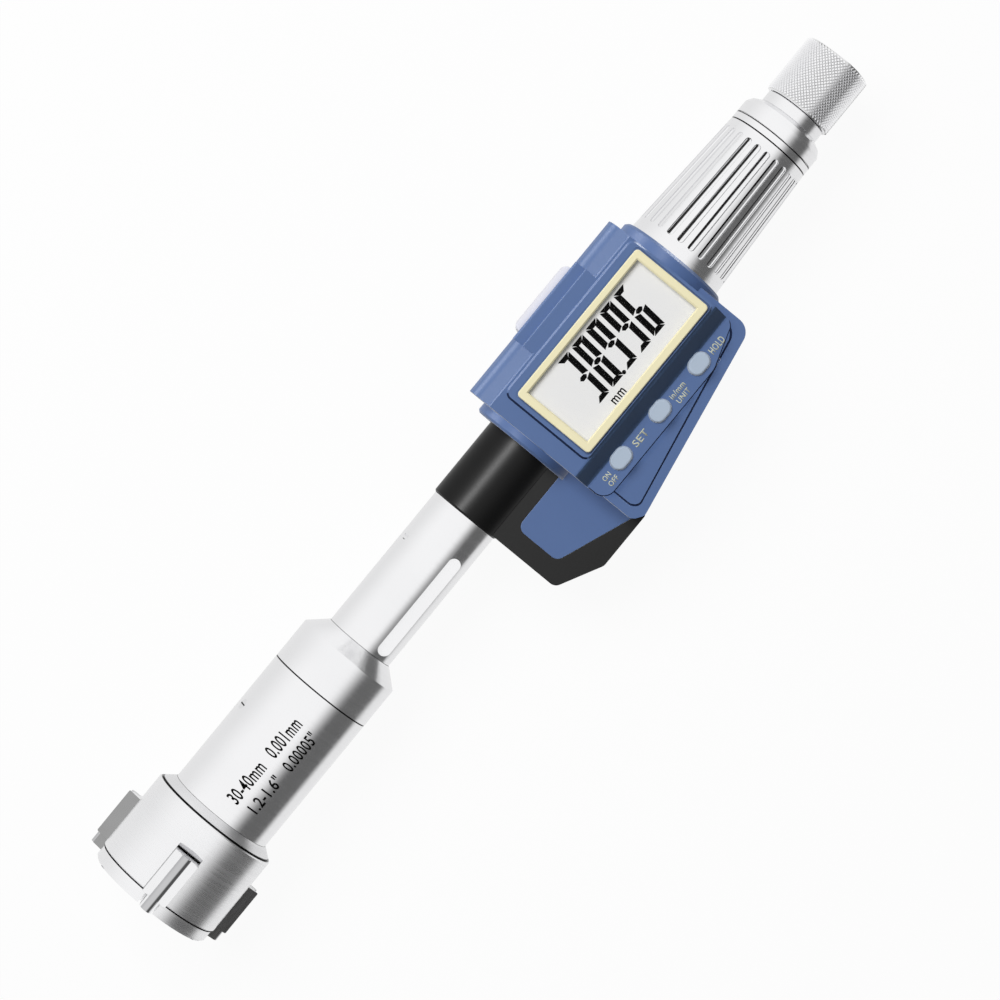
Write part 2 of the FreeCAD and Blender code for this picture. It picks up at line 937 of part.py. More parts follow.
def housing_screw(x, y, socket):
    """A countersunk screw through the back cover, or the cutter for its hole."""
    start = back_plane + housing_screw_sink
    taper = housing_screw_head - housing_screw_radius
    place = FreeCAD.Vector(x, y, start)
    head = Part.makeCone(housing_screw_head, housing_screw_radius, taper, place, axis_z)
    screw = head.fuse(post(x, y, start, housing_screw_tip, housing_screw_radius))
    if socket:
        recess = hexagon(housing_screw_head * socket_share, x, y)
        return screw.cut(plate(recess, back_plane, back_plane + housing_screw_socket))
    return screw.fuse(post(x, y, back_plane - 1, start, housing_screw_head))


def housing_screws():
    return Part.Compound([housing_screw(x, y, 1) for x, y in housing_screw_places()])


# Battery, its lid and the data port


def battery_well():
    back = back_plane + back_cover_depth
    depth = battery_height + lid_depth - back_cover_depth + 2 * face_gap
    return post(cover_x + battery_x, battery_y, back, back + depth, battery_radius + face_gap)


def battery():
    low = back_plane + lid_depth + face_gap
    return post(cover_x + battery_x, battery_y, low, low + battery_height, battery_radius)


def lug_form(gap, low, high):
    """The two lugs that lock the lid, or the notches they pass through."""
    x = cover_x + battery_x
    reach = lid_radius + lid_lug + gap
    ring = post(x, battery_y, low, high, reach)
    half = lid_lug_width / 2 + gap
    return ring.common(block(x - half, x + half, battery_y - reach, battery_y + reach, low, high))


def battery_lid():
    x = cover_x + battery_x
    top = back_plane + lid_depth
    lid = post(x, battery_y, back_plane, top, lid_radius)
    lid = lid.fuse(lug_form(0, top - lid_lug_thickness, top))
    half = lid_radius * coin_slot_share
    low = battery_y - coin_slot_width / 2
    high = battery_y + coin_slot_width / 2
    slot = block(x - half, x + half, low, high, back_plane, back_plane + coin_slot_depth)
    return lid.cut(slot)


def port_room():
    low = port_low + plug_margin
    high = port_high - plug_margin
    start = cover_x + port_start + plug_margin
    end = cover_x + port_start + port_length - plug_margin
    deep = housing_top - plug_depth - face_gap - contact_depth
    low_wall = low - seam_gap
    return block(start - seam_gap, end + seam_gap, deep, housing_top + 1, low_wall, high + seam_gap)


def port_cover():
    """The pale cap over the data port, with its plug."""
    start = cover_x + port_start
    end = start + port_length
    cap = block(start, end, housing_top, housing_top + port_thickness, port_low, port_high)
    outer = [edge for edge in cap.Edges if edge.BoundBox.YMin > housing_top + 0.01]
    cap = cap.makeFillet(port_round, outer)
    low = port_low + plug_margin
    high = port_high - plug_margin
    inner = housing_top - plug_depth
    plug = block(start + plug_margin, end - plug_margin, inner, housing_top, low, high)
    return cap.fuse(plug)


def port_contacts():
    """The block of contacts behind the plug."""
    start = cover_x + port_start + plug_margin - seam_gap
    end = cover_x + port_start + port_length - plug_margin + seam_gap
    deep = housing_top - plug_depth - face_gap - contact_depth
    low = port_low + plug_margin - seam_gap
    high = port_high - plug_margin + seam_gap
    return block(start, end, deep, deep + contact_depth, low, high)


# Front cover, display and buttons


def cover_plan():
    right = cover_end_x
    return [
        (cover_x, cover_top, 0),
        (cover_x, cover_bottom, cover_corner),
        (cover_x + cover_length * cover_low_share, cover_bottom, cover_low_round),
        (right, cover_right_y, cover_right_round),
        (right, cover_top, 0),
    ]


def cover_section(edge_corners):
    return [
        (cover_bottom - 1, housing_front, 0),
        (cover_bottom - 1, panel_front, 0),
        (slope_foot_y, panel_front, slope_round),
        (slope_start_y, cover_front, slope_round),
    ] + edge_corners


def tab_corners():
    """The rounded upper edge of the two tabs."""
    low = cover_front - tab_step
    return [
        (tab_line_y, cover_front, 0),
        (tab_line_y, low, 0),
        (cover_top - tab_side_inset, low - tab_side_drop, tab_side_round),
        (cover_top, tab_edge_z, tab_edge_round),
        (cover_top, cover_skirt, 0),
        (0, cover_skirt, 0),
        (0, housing_front, 0),
    ]


def band_corners():
    """The middle band between the tabs, which ends in a flat ledge."""
    return [
        (band_line_y, cover_front, band_round),
        (band_line_y, band_ledge_z, 0),
        (cover_top, band_ledge_z, ledge_round),
        (cover_top, cover_skirt, 0),
        (0, cover_skirt, 0),
        (0, housing_front, 0),
    ]


def front_cover():
    band_x = cover_x + left_tab
    band_end = cover_end_x - right_tab
    form = bar(cover_section(tab_corners()), cover_x, band_x)
    form = form.fuse(bar(cover_section(band_corners()), band_x, band_end))
    form = form.fuse(bar(cover_section(tab_corners()), band_end, cover_end_x))
    form = form.common(plate(cover_plan(), 0, cover_front))
    form = form.cut(plate(housing_plan(0), 0, housing_front))
    island_start = cover_x + island_left
    island = rectangle(island_start, cover_end_x, island_bottom, island_top, island_round)
    form = form.fuse(plate(island, housing_front, island_front)).removeSplitter()
    form = form.cut(rod(housing_x, thimble_room_x, left_collar_radius))
    form = form.cut(rod(mouth_x - right_collar_inside, mouth_x, right_collar_radius))
    form = form.cut(bezel_seat()).cut(display_room()).cut(key_room())
    for middle in button_places():
        hole = pill(middle, button_y, button_length + 2 * seam_gap, button_width + 2 * seam_gap)
        form = form.cut(plate(hole, housing_front, panel_front + 1))
    for x, y in housing_screw_places():
        form = form.cut(post(x, y, housing_front - 1, housing_screw_tip, housing_screw_radius))
    return form


def bezel_plan(margin):
    left = cover_x + bezel_left - margin
    right = cover_x + bezel_left + bezel_length + margin
    rounding = bezel_round + max(margin, -opening_round)
    return rectangle(left, right, bezel_bottom - margin, bezel_top + margin, rounding)


def bezel_seat():
    seat = plate(bezel_plan(seam_gap), bezel_floor, island_front + 1)
    opening = plate(bezel_plan(opening_margin), housing_front, island_front)
    return seat.fuse(opening)


def display_room():
    """The pocket behind the display for its board."""
    left = cover_x + bezel_left
    right = left + bezel_length
    return block(left, right, bezel_bottom, bezel_top, housing_front, display_board_front)


def display_bezel():
    frame = plate(bezel_plan(0), bezel_floor, island_front + bezel_proud)
    frame = frame.cut(plate(bezel_plan(-bezel_width), bezel_floor, island_front + bezel_proud))
    lap = plate(bezel_plan(running_gap - window_lap), bezel_floor, bezel_floor + window_thickness)
    return frame.cut(lap)


def display_window():
    return plate(bezel_plan(-window_lap), bezel_floor, bezel_floor + window_thickness)


def lcd_panel():
    outline_margin = opening_margin - running_gap
    return plate(bezel_plan(outline_margin), display_board_front, bezel_floor - running_gap)


def display_board():
    left = cover_x + bezel_left + running_gap
    right = cover_x + bezel_left + bezel_length - running_gap
    low = bezel_bottom + running_gap
    high = bezel_top - running_gap
    back = display_board_front - board_thickness
    return block(left, right, low, high, back, display_board_front)


def button_places():
    return [cover_x + button_first + button_pitch * k for k in range(3)]


def key_room():
    """The pocket under the button panel for the buttons' lips, domes and board."""
    first = button_places()[0] - button_length / 2 - key_room_margin
    last = button_places()[2] + button_length / 2 + key_room_margin
    low = button_y - button_width / 2 - key_room_margin
    high = button_y + button_width / 2 + key_room_margin
    return block(first, last, low, high, key_board_back, panel_front - panel_wall)


def key_board():
    room = key_room().BoundBox
    front = key_board_back + board_thickness
    return block(room.XMin, room.XMax, room.YMin, room.YMax, key_board_back, front)


def key_domes():
    """The rubber domes on the key board, one under each button."""
    low = key_board_back + board_thickness
    high = lip_back - button_travel - dome_gap
    domes = []
    top_radius = dome_radius * dome_top_share
    for middle in button_places():
        place = FreeCAD.Vector(middle, button_y, low)
        domes.append(Part.makeCone(dome_radius, top_radius, high - low, place, axis_z))
    return Part.Compound(domes)


def button(middle):
    cap = plate(pill(middle, button_y, button_length, button_width), lip_back, button_z)
    top = [edge for edge in cap.Edges if edge.BoundBox.ZMin > button_z - 0.01]
    cap = cap.makeChamfer(button_edge, top)
    lip = pill(middle, button_y, button_length + 2 * button_lip, button_width + 2 * button_lip)
    return cap.fuse(plate(lip, lip_back, lip_front))


# Spindle, encoder and guide sleeve


def spindle():
    """The micrometer spindle, from the thrust ball to the thimble's cap."""
    shaft = rod(spindle_x, cap_seat_x, spindle_radius)
    half = spindle_key_width / 2
    start = disc_x - retreat - 1
    end = disc_x + disc_thickness + advance + 1
    floor = spindle_radius - spindle_key
    return shaft.cut(block(start, end, -half, half, floor, spindle_radius + 1))


def encoder_rotor():
    disc = rod(disc_x, disc_x + disc_thickness, disc_radius)
    disc = disc.cut(rod(disc_x, disc_x + disc_thickness, spindle_radius + running_gap))
    half = spindle_key_width / 2 - running_gap
    low = spindle_radius - spindle_key + running_gap
    key = block(disc_x, disc_x + disc_thickness, -half, half, low, spindle_radius + 1)
    return disc.fuse(key)


def encoder_stator():
    start = disc_x + disc_thickness + disc_gap
    disc = rod(start, start + disc_thickness, encoder_room_radius)
    return disc.cut(rod(start, start + disc_thickness, spindle_radius + spindle_room_gap))


def guide_sleeve():
    """The inner sleeve with the nut thread, which the thimble runs over."""
    nut_end = thimble_back_x - advance - nut_clear
    nut_x = nut_end - sleeve_neck_length
    return turned([
        (sleeve_x, spindle_radius + running_gap, 0),
        (sleeve_x, encoder_room_radius, 0),
        (thimble_room_x, encoder_room_radius, 0),
        (thimble_room_x, sleeve_radius, 0),
        (nut_x, sleeve_radius, nut_edge),
        (nut_x, sleeve_neck_radius, 0),
        (nut_end, sleeve_neck_radius, 0),
        (nut_end, spindle_radius + running_gap, 0),
    ])


def adjusting_nut():
    nut_end = thimble_back_x - advance - nut_clear
    nut_x = nut_end - sleeve_neck_length
    nut = turned([
        (nut_x, sleeve_neck_radius, 0),
        (nut_x, nut_radius, nut_edge),
        (nut_end, nut_radius, nut_edge),
        (nut_end, sleeve_neck_radius, 0),
    ])
    half = nut_slot_width / 2
    slot_floor = sleeve_neck_radius + nut_slot_wall
    slot = block(nut_end - nut_slot_length, nut_end + 1, -half, half, slot_floor, nut_radius + 1)
    for angle in (0, 90, 180, 270):
        nut = nut.cut(about_axis(slot, angle))
    return nut


# Thimble and ratchet


def flute_cutter():
    """One flat-floored flute along the taper, with pointed ends."""
    taper = math.atan((thimble_radius - thimble_end_radius) / (thimble_end_x - mouth_x))
    half = flute_width / 2
    start = flute_x - mouth_x
    end = start + flute_length
    plan = [
        (start, 0, 0),
        (start + half, half, 0),
        (end - half, half, 0),
        (end, 0, 0),
        (end - half, -half, 0),
        (start + half, -half, 0),
    ]
    flute = plate(plan, -flute_depth, 1)
    flute.rotate(origin, FreeCAD.Vector(0, 1, 0), math.degrees(taper))
    flute.translate(FreeCAD.Vector(mouth_x, 0, thimble_radius))
    return flute


def thimble():
    bore = sleeve_radius + thimble_bore_gap
    form = turned([
        (thimble_x, bore, 0),
        (thimble_x, thimble_radius, thimble_edge),
        (mouth_x, thimble_radius, 0),
        (thimble_end_x, thimble_end_radius, thimble_end_edge),
        (thimble_end_x, spindle_radius, 0),
        (thimble_back_x, spindle_radius, 0),
        (thimble_back_x, bore, 0),
    ])
    flute = flute_cutter()
    flutes = [about_axis(flute, 360 / flute_count * k) for k in range(flute_count)]
    return form.cut(Part.Compound(flutes))


def thimble_cap():
    """The domed cap that clamps the thimble to the spindle."""
    ring_x = thimble_end_x + cap_ring
    ring_end = ring_x + cap_ring_width
    ring_floor = thimble_end_radius - cap_ring_depth
    return turned([
        (thimble_end_x, spindle_radius, 0),
        (thimble_end_x, thimble_end_radius, thimble_end_edge),
        (ring_x, thimble_end_radius, 0),
        (ring_x, ring_floor, 0),
        (ring_end, ring_floor, 0),
        (ring_end, thimble_end_radius, 0),
        (cap_end_x - dome_start, thimble_end_radius, 0),
        (cap_end_x - dome_shoulder, thimble_end_radius - dome_shoulder_drop, 0),
        (cap_end_x, cap_dome_radius, 0),
        (cap_end_x, ratchet_seat_radius, 0),
        (cap_seat_x, ratchet_seat_radius, 0),
        (cap_seat_x, spindle_radius, 0),
    ])


def ratchet_stem():
    stem_end = end_x - knob_recess_depth + stem_proud
    stem = turned([
        (cap_seat_x, 0, 0),
        (cap_seat_x, ratchet_seat_radius, 0),
        (cap_end_x, ratchet_seat_radius, 0),
        (cap_end_x, ratchet_neck_radius, ratchet_neck_edge),
        (knob_x - face_gap, ratchet_neck_radius, ratchet_neck_edge),
        (knob_x - face_gap, ratchet_stem_radius, 0),
        (stem_end, ratchet_stem_radius, 0),
        (stem_end, 0, 0),
    ])
    return stem.cut(rod(stem_end - end_screw_length, stem_end, end_screw_radius))


def ratchet_knob():
    recess_x = end_x - knob_recess_depth
    return turned([
        (knob_x, ratchet_stem_radius + running_gap, 0),
        (knob_x, knob_radius, knob_edge),
        (end_x, knob_radius, knob_edge),
        (end_x, knob_recess_radius, 0),
        (recess_x, knob_recess_radius, 0),
        (recess_x, ratchet_stem_radius + running_gap, 0),
    ])


def ratchet_spring():
    """The spring that presses the knob onto the stem's shoulder."""
    recess_x = end_x - knob_recess_depth
    radius = (ratchet_stem_radius + end_screw_head) / 2
    return coil_spring(recess_x, recess_x + stem_proud, radius, knob_spring_wire, knob_spring_turns)


def ratchet_end_screw():
    stem_end = end_x - knob_recess_depth + stem_proud
    head_end = stem_end + end_screw_head_thickness
    screw = turned([
        (stem_end - end_screw_length, 0, 0),
        (stem_end - end_screw_length, end_screw_radius, 0),
        (stem_end, end_screw_radius, 0),
        (stem_end, end_screw_head, 0),
        (head_end, end_screw_head, end_screw_edge),
        (head_end, 0, 0),
    ])
    half = end_screw_slot / 2
    floor = head_end - end_screw_slot_depth
    slot = block(floor, head_end + 1, -end_screw_head, end_screw_head, -half, half)
    return screw.cut(slot)


def pieces():
    """Every piece by its node's name."""
    made = {
        "end_cap": end_cap(),
        "end_cap_screws": end_cap_screws(),
        "head_body": head_body(),
        "measuring_cone": measuring_cone(),
        "push_rod": push_rod(),
        "return_spring": return_spring(),
        "thrust_ball": thrust_ball(),
        "body_sleeve": body_sleeve(),
        "body_set_screw": body_set_screw(),
        "shoulder_collar": shoulder_collar(),
        "neck_tube": neck_tube(),
        "neck_guide_screw": neck_guide_screw(),
        "frame_cover": frame_cover(),
        "side_inlay": side_inlay(),
        "main_housing": main_housing(),
        "back_cover": back_cover(),
        "housing_screws": housing_screws(),
        "battery": battery(),
        "battery_lid": battery_lid(),
        "port_contacts": port_contacts(),
        "port_cover": port_cover(),
        "front_cover": front_cover(),
        "display_bezel": display_bezel(),
        "display_window": display_window(),
        "lcd_panel": lcd_panel(),
        "display_board": display_board(),
        "key_board": key_board(),
        "key_domes": key_domes(),
        "spindle": spindle(),
        "encoder_rotor": encoder_rotor(),
        "encoder_stator": encoder_stator(),
        "guide_sleeve": guide_sleeve(),
        "adjusting_nut": adjusting_nut(),
        "thimble": thimble(),
        "thimble_cap": thimble_cap(),
        "ratchet_stem": ratchet_stem(),
        "ratchet_knob": ratchet_knob(),
        "ratchet_spring": ratchet_spring(),
        "ratchet_end_screw": ratchet_end_screw(),
    }
    for k, angle in enumerate(anvil_angles()):
        made[f"anvil_{k + 1}"] = about_axis(anvil_wedge(), angle)
        made[f"carbide_rod_{k + 1}"] = about_axis(rod_form(), angle)
    for name, middle in zip(("power_button", "units_button", "hold_button"), button_places()):
        made[name] = button(middle)
    return made


os.makedirs("parts", exist_ok=True)
for name, shape in pieces().items():
    shape.exportStep(f"parts/{name}.step")
    print(name, len(shape.Solids), round(shape.Volume, 1), shape.isValid())
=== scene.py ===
import bpy
import json
import math
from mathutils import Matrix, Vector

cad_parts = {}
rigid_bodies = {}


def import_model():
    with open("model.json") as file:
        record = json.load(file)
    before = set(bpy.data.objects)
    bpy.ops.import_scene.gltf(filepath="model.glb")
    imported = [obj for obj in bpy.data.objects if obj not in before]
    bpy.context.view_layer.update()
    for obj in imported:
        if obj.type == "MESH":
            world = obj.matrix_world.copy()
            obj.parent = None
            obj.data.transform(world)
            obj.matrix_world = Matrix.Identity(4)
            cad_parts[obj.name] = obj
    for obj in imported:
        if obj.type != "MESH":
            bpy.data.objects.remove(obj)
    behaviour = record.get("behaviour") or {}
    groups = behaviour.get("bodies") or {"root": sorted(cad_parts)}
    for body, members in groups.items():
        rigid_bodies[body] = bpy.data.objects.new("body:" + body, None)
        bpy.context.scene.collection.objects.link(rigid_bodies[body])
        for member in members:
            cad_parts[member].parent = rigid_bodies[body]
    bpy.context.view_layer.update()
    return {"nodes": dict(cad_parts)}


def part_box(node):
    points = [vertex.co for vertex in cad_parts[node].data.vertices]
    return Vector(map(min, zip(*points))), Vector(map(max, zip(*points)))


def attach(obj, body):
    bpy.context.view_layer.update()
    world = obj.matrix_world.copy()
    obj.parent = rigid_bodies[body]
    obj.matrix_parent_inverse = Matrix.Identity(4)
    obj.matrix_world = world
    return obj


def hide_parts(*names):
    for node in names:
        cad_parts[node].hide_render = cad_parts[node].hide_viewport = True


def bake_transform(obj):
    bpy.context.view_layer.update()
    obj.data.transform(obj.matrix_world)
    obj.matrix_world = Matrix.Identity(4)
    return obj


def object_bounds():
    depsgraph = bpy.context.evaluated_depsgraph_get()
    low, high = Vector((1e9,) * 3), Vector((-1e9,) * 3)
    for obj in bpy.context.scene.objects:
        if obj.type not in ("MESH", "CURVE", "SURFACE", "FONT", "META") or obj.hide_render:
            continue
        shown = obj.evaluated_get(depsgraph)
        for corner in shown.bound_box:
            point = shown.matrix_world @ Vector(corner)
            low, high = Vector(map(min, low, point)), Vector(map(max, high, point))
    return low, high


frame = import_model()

mm = 0.001
nodes = frame["nodes"]


# Measuring head: the head ring, its end cap and the three cap screws
# The head is turned from hardened steel, with three slots milled along it for the
# anvils. A thin disc with three notches closes its front, held by countersunk screws.

def finish_of(name, colour, metallic, roughness):
    """A new material with its plain values on the shader's own sockets."""
    finish = bpy.data.materials.new(name)
    finish.use_nodes = True
    shader = finish.node_tree.nodes["Principled BSDF"]
    shader.inputs["Base Color"].default_value = (*colour, 1)
    shader.inputs["Metallic"].default_value = metallic
    shader.inputs["Roughness"].default_value = roughness
    return finish


def add_node(tree, kind, inputs=None, **settings):
    """A shader node with its settings; each input takes a value or a linked socket."""
    node = tree.nodes.new("ShaderNode" + kind)
    for name, value in settings.items():
        setattr(node, name, value)
    for key, value in (inputs or {}).items():
        if isinstance(value, bpy.types.NodeSocket):
            tree.links.new(value, node.inputs[key])
        else:
            node.inputs[key].default_value = value
    return node


def math_node(tree, operation, *values):
    """The result of a maths node whose inputs are numbers or linked sockets."""
    return add_node(tree, "Math", dict(enumerate(values)), operation=operation).outputs["Value"]


def map_range(tree, value, read, given, interpolation="LINEAR"):
    """A value's range, from its two limits as read to the two as given."""
    return add_node(tree, "MapRange", {
        "Value": value, "From Min": read[0], "From Max": read[1], "To Min": given[0], "To Max": given[1],
    }, interpolation_type=interpolation).outputs["Result"]


def own_place(tree):
    """The piece's own coordinates, as the sockets X, Y and Z."""
    place = add_node(tree, "TexCoord")
    return add_node(tree, "SeparateXYZ", {"Vector": place.outputs["Object"]}).outputs


noise_range = (0.3, 0.7)
cloud_scale = 90
turned_grain = (2600, 60, 60)
even_grain = (2500, 2500, 2500)


def add_grain(finish, stretch, roughness, height, tints):
    """Noise on the piece's own coordinates moves roughness and bump, a slower one the colour."""
    tree = finish.node_tree
    shader = tree.nodes["Principled BSDF"]
    place = add_node(tree, "TexCoord").outputs["Object"]
    stretched = add_node(tree, "Mapping", {"Vector": place, "Scale": stretch}).outputs["Vector"]
    grain = add_node(tree, "TexNoise", {"Vector": stretched, "Scale": 1, "Detail": 3}).outputs["Fac"]
    tree.links.new(map_range(tree, grain, noise_range, roughness), shader.inputs["Roughness"])
    bump = add_node(tree, "Bump", {"Height": grain, "Distance": height})
    tree.links.new(bump.outputs["Normal"], shader.inputs["Normal"])
    cloud = add_node(tree, "TexNoise", {"Vector": place, "Scale": cloud_scale, "Detail": 2}).outputs["Fac"]
    colour = add_node(tree, "Mix", {
        "Factor": cloud, "A": (*tints[0], 1), "B": (*tints[1], 1),
    }, data_type="RGBA")
    tree.links.new(colour.outputs["Result"], shader.inputs["Base Color"])
    return finish


def tint(finish, mask, colour):
    """Lays another colour over the finish's own where the mask is 1."""
    tree = finish.node_tree
    base = tree.nodes["Principled BSDF"].inputs["Base Color"]
    over = add_node(tree, "Mix", {
        "Factor": mask, "A": base.links[0].from_socket, "B": (*colour, 1),
    }, data_type="RGBA")
    tree.links.new(over.outputs["Result"], base)


def bands(finish, colour, half_width, *stations):
    """Another colour in narrow bands along the tool, for painted shade in joints and steps and a painted
    darker reflection.
    """
    tree = finish.node_tree
    along = own_place(tree)["X"]
    for station in stations:
        tint(finish, math_node(tree, "COMPARE", along, station * mm, half_width * mm), colour)


def paint(finish, *names):
    """Gives the material to CAD nodes that stay as they are."""
    for name in names:
        for place in nodes[name].material_slots:
            place.material = finish


head_steel = add_grain(
    finish_of("lapped_head_steel", (0.90, 0.90, 0.91), 1, 0.16),
    turned_grain, (0.24, 0.32), 0.0000006, ((0.85, 0.85, 0.86), (0.90, 0.90, 0.91)),
)
# Painted shade: thin dark lines where the head's parts meet and at its end. A greyer band at its rim is a
# painted darker reflection of the bevel.
painted_shade_black = (0.02, 0.02, 0.02)
painted_shade_grey = (0.2, 0.2, 0.2)
cap_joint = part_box("end_cap")[1].x / mm - 0.1
head_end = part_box("body_sleeve")[0].x / mm
rim_middle = head_end - 0.85
rim_line = head_end - 1.9
bands(head_steel, (0.78, 0.78, 0.79), 0.9, rim_middle)
bands(head_steel, painted_shade_black, 0.13, cap_joint)
bands(head_steel, painted_shade_black, 0.2, rim_line)
bands(head_steel, painted_shade_grey, 0.08, head_end)
paint(head_steel, "end_cap", "head_body")
screw_steel = add_grain(
    finish_of("bright_screw_steel", (0.62, 0.62, 0.63), 1, 0.3),
    even_grain, (0.25, 0.4), 0.0000015, ((0.58, 0.58, 0.59), (0.68, 0.68, 0.69)),
)
paint(screw_steel, "end_cap_screws")


# Anvils and their carbide rods
# Each anvil is a ground steel wedge that slides in its slot on the cone. A rod of
# hard metal is brazed along its top, and only the rod touches the bore.

def pick(piece):
    """Selects one piece alone and makes it the active one."""
    bpy.ops.object.select_all(action="DESELECT")
    piece.select_set(True)
    bpy.context.view_layer.objects.active = piece


def duplicate(piece):
    """A copy of a piece with a mesh of its own, picked."""
    pick(piece)
    bpy.ops.object.duplicate()
    return bpy.context.object


def smoothed(piece, angle=35):
    """Smooth shading up to an angle, with the large flats kept truly flat."""
    pick(piece)
    bpy.ops.object.shade_smooth_by_angle(angle=math.radians(angle))
    level = piece.modifiers.new("level_flats", "WEIGHTED_NORMAL")
    level.keep_sharp = True
    bpy.ops.object.modifier_apply(modifier=level.name)


doubles_apart = 0.00002
flat_within = 0.6


def merged(name):
    """A copy of a CAD piece with its doubles merged and its flats joined."""
    piece = duplicate(nodes[name])
    piece.name = name + "_finished"
    piece.parent = None
    bpy.ops.mesh.customdata_custom_splitnormals_clear()
    bpy.ops.object.mode_set(mode="EDIT")
    bpy.ops.mesh.select_all(action="SELECT")
    bpy.ops.mesh.remove_doubles(threshold=doubles_apart)
    bpy.ops.mesh.dissolve_limited(angle_limit=math.radians(flat_within))
    bpy.ops.object.mode_set(mode="OBJECT")
    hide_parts(name)
    return piece


def ease(piece, width, segments=2, angle=28):
    """Rounds every edge sharper than the angle and shades the piece."""
    pick(piece)
    bevel = piece.modifiers.new("eased_edges", "BEVEL")
    bevel.width = width * mm
    bevel.segments = segments
    bevel.limit_method = "ANGLE"
    bevel.angle_limit = math.radians(angle)
    bevel.use_clamp_overlap = True
    bpy.ops.object.modifier_apply(modifier=bevel.name)
    smoothed(piece)
    return piece


def eased(name, width, segments=2):
    """A CAD piece with all its sharp edges rounded by one width, in millimetres."""
    return ease(merged(name), width, segments)


def dress(piece, finish, body):
    """Gives a finished piece its one material and the body that carries it."""
    piece.data.materials.clear()
    piece.data.materials.append(finish)
    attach(piece, body)


ground_grain = (300, 4000, 4000)
anvil_steel = add_grain(
    finish_of("lapped_anvil_steel", (0.86, 0.86, 0.87), 1, 0.2),
    ground_grain, (0.16, 0.24), 0.0000006, ((0.83, 0.83, 0.84), (0.89, 0.89, 0.90)),
)
# Painted shade: the flanks of each anvil take a far darker steel than its lands.
flank_steel = add_grain(
    finish_of("flank_steel_in_painted_shade", (0.34, 0.34, 0.34), 1, 0.28),
    ground_grain, (0.22, 0.34), 0.0000008, ((0.30, 0.30, 0.30), (0.38, 0.38, 0.38)),
)
carbide = add_grain(
    finish_of("polished_carbide", (0.55, 0.55, 0.56), 1, 0.14),
    (4000, 4000, 4000), (0.10, 0.18), 0.0000003, ((0.50, 0.50, 0.51), (0.60, 0.60, 0.61)),
)
flank_limit = 0.5
for k in (1, 2, 3):
    anvil = eased(f"anvil_{k}", 0.15)
    dress(anvil, anvil_steel, f"anvil_{k}")
    anvil.data.materials.append(flank_steel)
    outward = sum((point.co for point in anvil.data.vertices), start=anvil.location * 0)
    outward.x = 0
    outward.normalize()
    for face in anvil.data.polygons:
        if abs(face.normal.x) < flank_limit and abs(face.normal.dot(outward)) < flank_limit:
            face.material_index = 1
    paint(carbide, f"carbide_rod_{k}")


# Cone, push rod, return spring and ball
# The ground cone lifts the anvils as the rod pushes it. The spring, which gives with the
# rod's collar, holds the rod against the ball in the spindle's end.

inner_steel = add_grain(
    finish_of("ground_inner_steel", (0.66, 0.66, 0.67), 1, 0.25),
    turned_grain, (0.2, 0.32), 0.000001, ((0.62, 0.62, 0.63), (0.70, 0.70, 0.71)),
)
paint(inner_steel, "measuring_cone", "push_rod", "thrust_ball")
spring_steel = add_grain(
    finish_of("drawn_spring_steel", (0.42, 0.42, 0.43), 1, 0.3),
    even_grain, (0.25, 0.4), 0.000001, ((0.36, 0.36, 0.37), (0.48, 0.48, 0.49)),
)
spring = merged("return_spring")
smoothed(spring, 50)
spring.data.materials.clear()
spring.data.materials.append(spring_steel)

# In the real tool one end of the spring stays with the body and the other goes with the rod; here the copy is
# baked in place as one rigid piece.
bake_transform(spring)


# Body sleeve with its printed range
# A satin chromed steel sleeve over the head's spigot, locked by a small set screw. Its
# range and step are printed on it in black, in millimetres and in inches.

satin_grain = (2200, 50, 50)
satin_end_grain = (2200, 2200, 2200)
satin_steel = add_grain(
    finish_of("satin_sleeve_steel", (0.90, 0.90, 0.91), 1, 0.17),
    satin_grain, (0.14, 0.21), 0.0000006, ((0.85, 0.85, 0.86), (0.90, 0.90, 0.91)),
)
# Painted shade: dark bands at the collar's joint, the cap's seat and the ring beside it.
joint_gap = 0.08
ring_from_seat = 1.7
collar_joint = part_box("body_sleeve")[1].x / mm - joint_gap
cap_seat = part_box("thimble")[1].x / mm
cap_ring = cap_seat + ring_from_seat
bands(satin_steel, painted_shade_black, 0.15, collar_joint, cap_seat, cap_ring)
paint(satin_steel, "body_sleeve")
set_screw_steel = add_grain(
    finish_of("satin_set_screw_steel", (0.80, 0.80, 0.81), 1, 0.2),
    satin_end_grain, (0.17, 0.24), 0.0000006, ((0.78, 0.78, 0.79), (0.84, 0.84, 0.85)),
)
# Painted shade: a dark band across the middle of the set screw.
screw_low, screw_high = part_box("body_set_screw")
bands(set_screw_steel, painted_shade_black, 0.16, (screw_low.x + screw_high.x) / 2 / mm)
paint(set_screw_steel, "body_set_screw")


def less_shine(finish, level):
    """A lower reflection than the usual one of plastic, for matt inks and fine textures."""
    finish.node_tree.nodes["Principled BSDF"].inputs["Specular IOR Level"].default_value = level


ink_grain = (3000, 3000, 3000)
black_ink = add_grain(
    finish_of("black_ink", (0.004, 0.004, 0.004), 0, 0.6),
    ink_grain, (0.55, 0.7), 0.0000005, ((0.003, 0.003, 0.003), (0.006, 0.006, 0.006)),
)
less_shine(black_ink, 0)
letter_weight = 0.018
letter_spacing = 1.08


def lettering(name, words, left, bottom, height, width):
    """A line of flat letters in the plan, cut to its height and width in millimetres."""
    bpy.ops.object.select_all(action="DESELECT")
    bpy.ops.object.text_add()
    line = bpy.context.object
    line.data.body = words
    line.data.size = 1
    line.data.offset = letter_weight
    line.data.space_character = letter_spacing
    line.data.resolution_u = 4
    bpy.ops.object.convert(target="MESH")
    line = bpy.context.object
    line.name = name
    low_x = min(corner[0] for corner in line.bound_box)
    low_y = min(corner[1] for corner in line.bound_box)
    line.scale = (width * mm / line.dimensions.x, height * mm / line.dimensions.y, 1)
    line.location = (left * mm - low_x * line.scale.x, bottom * mm - low_y * line.scale.y, 0)
    bpy.ops.object.transform_apply(location=True, rotation=True, scale=True)
    return line


